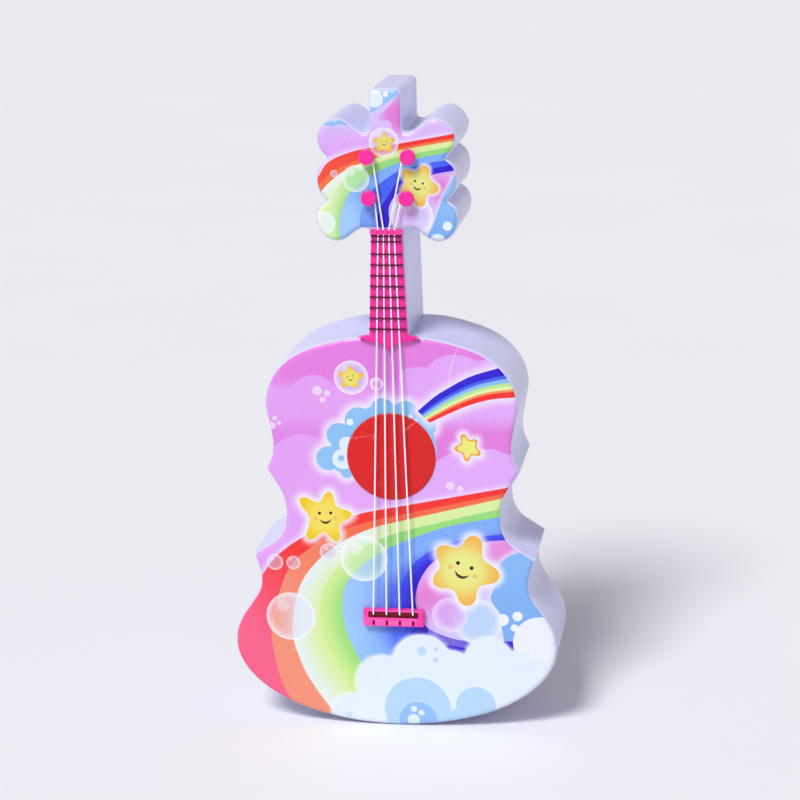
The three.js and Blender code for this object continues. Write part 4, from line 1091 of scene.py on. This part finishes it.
def nut():
    """The raised bar at the top of the board, with a dip over each string."""
    low, high = (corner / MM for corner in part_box("nut"))
    dip_depth, dip_half, crest, corner = 0.6, 0.6, 0.3, 0.5
    xs = np.linspace(low.x, high.x, 93)
    dip = sum(dip_depth * np.exp(-((xs - x) / dip_half) ** 4) for x in NUT_STRINGS) - crest
    ends = corner * np.clip(1 - (high.x - abs(xs)) / corner, 0, 1) ** 2
    top = low.y + dip + ends
    b = Builder()
    rows = []
    for z, back in ((low.z, 0.35), (low.z + 0.35, 0), (high.z - 0.35, 0), (high.z, 0.35)):
        rows.append([(x, y + back, z) for x, y in zip(xs, top)])
    n = len(xs)
    flat = [place for row in rows for place in row]
    faces = [[a + i, a + i + 1, a + n + i + 1, a + n + i] for a in (0, n, 2 * n) for i in range(n - 1)]
    b.add(flat, faces)
    for row, flip in ((rows[0], False), (rows[-1], True)):
        foot = [(x, high.y, z) for x, _, z in row]
        b.add(row + foot, [[i, i + n, i + 1 + n, i + 1] for i in range(n - 1)], flip)
    for i, flip in ((0, True), (n - 1, False)):
        side = [row[i] for row in rows]
        side += [(x, high.y, z) for x, _, z in (side[-1], side[0])]
        b.add(side, [list(range(len(side)))], flip)
    return b.piece("nut_scalloped", slot="pink_plastic", replaces=["nut"])


def pegs():
    """Round peg heads with a soft rim and a shallow dish."""
    for i, (x, z) in enumerate(PEG_PLACES):
        b = Builder()
        rim = [(4.2 - 0.8 + 0.8 * math.sin(t), -6.5 + 0.8 - 0.8 * math.cos(t))
               for t in np.linspace(0, math.pi / 2, 6)]
        profile = [
            (0, -6.36), (1.6, -6.38), (2.6, -6.42), (3, -6.49), *rim,
            (4.2, -4), (4.05, -3.7), (3.7, -3.6), (2.35, -3.5), (2.3, -3.3), (2.3, -1.35), (2.45, -1.15),
            (3.3, -1.1), (3.4, -1), (3.4, -0.8), (2, -0.78), (2, 6.6), (1.4, 6.6), (1.4, 7.9), (2, 7.9),
            (1.6, 9.6), (0, 9.6),
        ]
        b.turned([(r, FACE_Y + y) for r, y in profile], x, z)
        b.piece(f"peg_{i + 1}_knob", f"peg_{i + 1}", "pink_plastic", [f"tuning_peg_{i + 1}"])


def string_route(i):
    """From the knot behind the face, out of the bridge, over the nut and once round the peg."""
    peg = np.array(PEG_PLACES[i])
    side = -1 if peg[0] < 0 else 1
    x, over = BRIDGE_STRINGS[i], FACE_Y - 5.1
    nut_x, level = NUT_STRINGS[i], FACE_Y - 3.6
    nut_low, nut_high, board_z = 282, 284.6, 224
    board_x = x + (nut_x - x) * (board_z - STRING_Z) / (nut_low - STRING_Z)
    route = [(x, y, STRING_Z) for y in np.linspace(FACE_Y + WALL + 1.5, over + 0.9, 8)]
    route += [(x, over + 0.9 - 0.9 * math.sin(t), STRING_Z + 0.9 * (1 - math.cos(t)))
              for t in np.linspace(0.2, math.pi / 2, 8)]
    for end in ((board_x, level, board_z), (nut_x, level, nut_low)):
        start = np.array(route[-1])
        route += [tuple(start + (end - start) * share) for share in np.linspace(0, 1, 16)[1:]]
    route.append((nut_x, level, nut_high))
    wrap, low = 2.8, FACE_Y - 2.62
    reach = peg - (nut_x, nut_high)
    length = np.hypot(*reach)
    heading = math.atan2(reach[1], reach[0]) + side * math.asin(wrap / length)
    run = math.sqrt(length ** 2 - wrap ** 2)
    touch = np.array([nut_x, nut_high]) + run * np.array([math.cos(heading), math.sin(heading)])
    for share in np.linspace(0, 1, 12)[1:]:
        route.append((nut_x + (touch[0] - nut_x) * share, level + (low - level) * share,
                      nut_high + (touch[1] - nut_high) * share))
    first = math.atan2(touch[1] - peg[1], touch[0] - peg[0])
    for turn in np.linspace(0, 2 * math.pi * 1.15, 46)[1:]:
        angle = first - side * turn
        r = wrap - 0.35 * ease(np.array([turn / 7.2 - 0.4]))[0]
        route.append((peg[0] + r * math.cos(angle), low + 0.13 * turn, peg[1] + r * math.sin(angle)))
    return route


def strings():
    """Four tubes, each with a small knot behind the face."""
    for i in range(4):
        b = Builder()
        b.tube(string_route(i), STRING_R)
        x, knot = BRIDGE_STRINGS[i], FACE_Y + WALL + 2
        t = np.linspace(0, 4 * math.pi, 60)
        loops = np.stack([x + 1.15 * np.cos(t * 0.75), knot + 0.7 * np.sin(t * 0.5),
                          STRING_Z + 1.15 * np.sin(t * 0.75)], axis=1)
        b.tube(loops, 0.45, 8)
        b.piece(f"string_{i + 1}_line", slot="string_nylon", replaces=[f"string_{i + 1}"], sharp=60)


# ---- CAD nodes that keep their shape ----

def keep_nodes():
    """Gives every CAD node the finish of its slot in the record, and soft edges."""
    slots = {entry["node"]: entry["material_slot"] for entry in frame["record"]["subparts"]}
    for name, obj in frame["nodes"].items():
        obj.data.materials.clear()
        covers = name in ("rear_cover", "battery_door")
        obj.data.materials.append(FINISHES["cover_plastic" if covers else slots[name]])
        if not obj.hide_render:
            weld = obj.modifiers.new("joined points", "WELD")
            weld.merge_threshold = 1e-6
            bevelled(obj, 0.25 if covers else 0.12)


# ---- stage, light and camera ----

def studio():
    """Soft light from all round: bright near the horizon, dimmer overhead."""
    world = bpy.data.worlds.new("studio")
    world.use_nodes = True
    tree = world.node_tree
    split = tree.nodes.new("ShaderNodeSeparateXYZ")
    height = tree.nodes.new("ShaderNodeMapRange")
    blend = tree.nodes.new("ShaderNodeMix")
    blend.data_type = "RGBA"
    height.inputs["From Min"].default_value = 0.1
    height.inputs["From Max"].default_value = 0.3
    blend.inputs[6].default_value = (0.95, 0.94, 0.97, 1)
    blend.inputs[7].default_value = (0.35, 0.33, 0.38, 1)
    tree.links.new(tree.nodes.new("ShaderNodeTexCoord").outputs["Generated"], split.inputs["Vector"])
    tree.links.new(split.outputs["Z"], height.inputs["Value"])
    tree.links.new(height.outputs["Result"], blend.inputs["Factor"])
    tree.links.new(blend.outputs[2], tree.nodes["Background"].inputs["Color"])
    return world


def stage():
    """The pale floor, the light from all round and one soft sun."""
    bpy.ops.mesh.primitive_plane_add(size=40)
    floor = bpy.context.object
    floor.name = "floor"
    n = Nodes("floor")
    floor.data.materials.append(n.done(n.mix(n.noise(3), "ECECEE", "E9E9EC"), n.span(n.noise(5), 0.6, 0.7)))
    bpy.context.scene.world = studio()
    key = bpy.data.lights.new("key", "SUN")
    key.energy = 2.8
    key.angle = math.radians(18)
    key.color = (0.98, 1.0, 1.0)
    lamp = bpy.data.objects.new("key", key)
    bpy.context.scene.collection.objects.link(lamp)
    lamp.rotation_euler = Vector((0.3, 0.75, -0.95)).to_track_quat("-Z", "Y").to_euler()


def camera():
    """Slightly from the right and above, as a telephoto portrait."""
    azimuth, elevation, roll = math.radians(8.38), math.radians(14), math.radians(-1.04)
    target = Vector((5.35, FACE_Y, 189.67)) * MM
    ahead = Vector((-math.sin(azimuth) * math.cos(elevation), math.cos(azimuth) * math.cos(elevation),
                    -math.sin(elevation)))
    level = ahead.cross(Vector((0, 0, 1))).normalized()
    upright = level.cross(ahead)
    right = level * math.cos(roll) + upright * math.sin(roll)
    up = right.cross(ahead)
    data = bpy.data.cameras.new("camera")
    data.lens, data.sensor_width = 114.6, 36
    data.clip_start, data.clip_end = 0.05, 60
    away = 1.3931
    cam = bpy.data.objects.new("camera", data)
    bpy.context.scene.collection.objects.link(cam)
    turn = Matrix((right, up, -ahead)).transposed().to_4x4()
    cam.matrix_world = Matrix.Translation(target - ahead * away) @ turn
    bpy.context.scene.camera = cam


front_shell()
films()
hole_disc()
fretboard()
nut()
bridge()
pegs()
strings()
keep_nodes()
stage()
camera()
bpy.context.scene.view_settings.view_transform = "Standard"
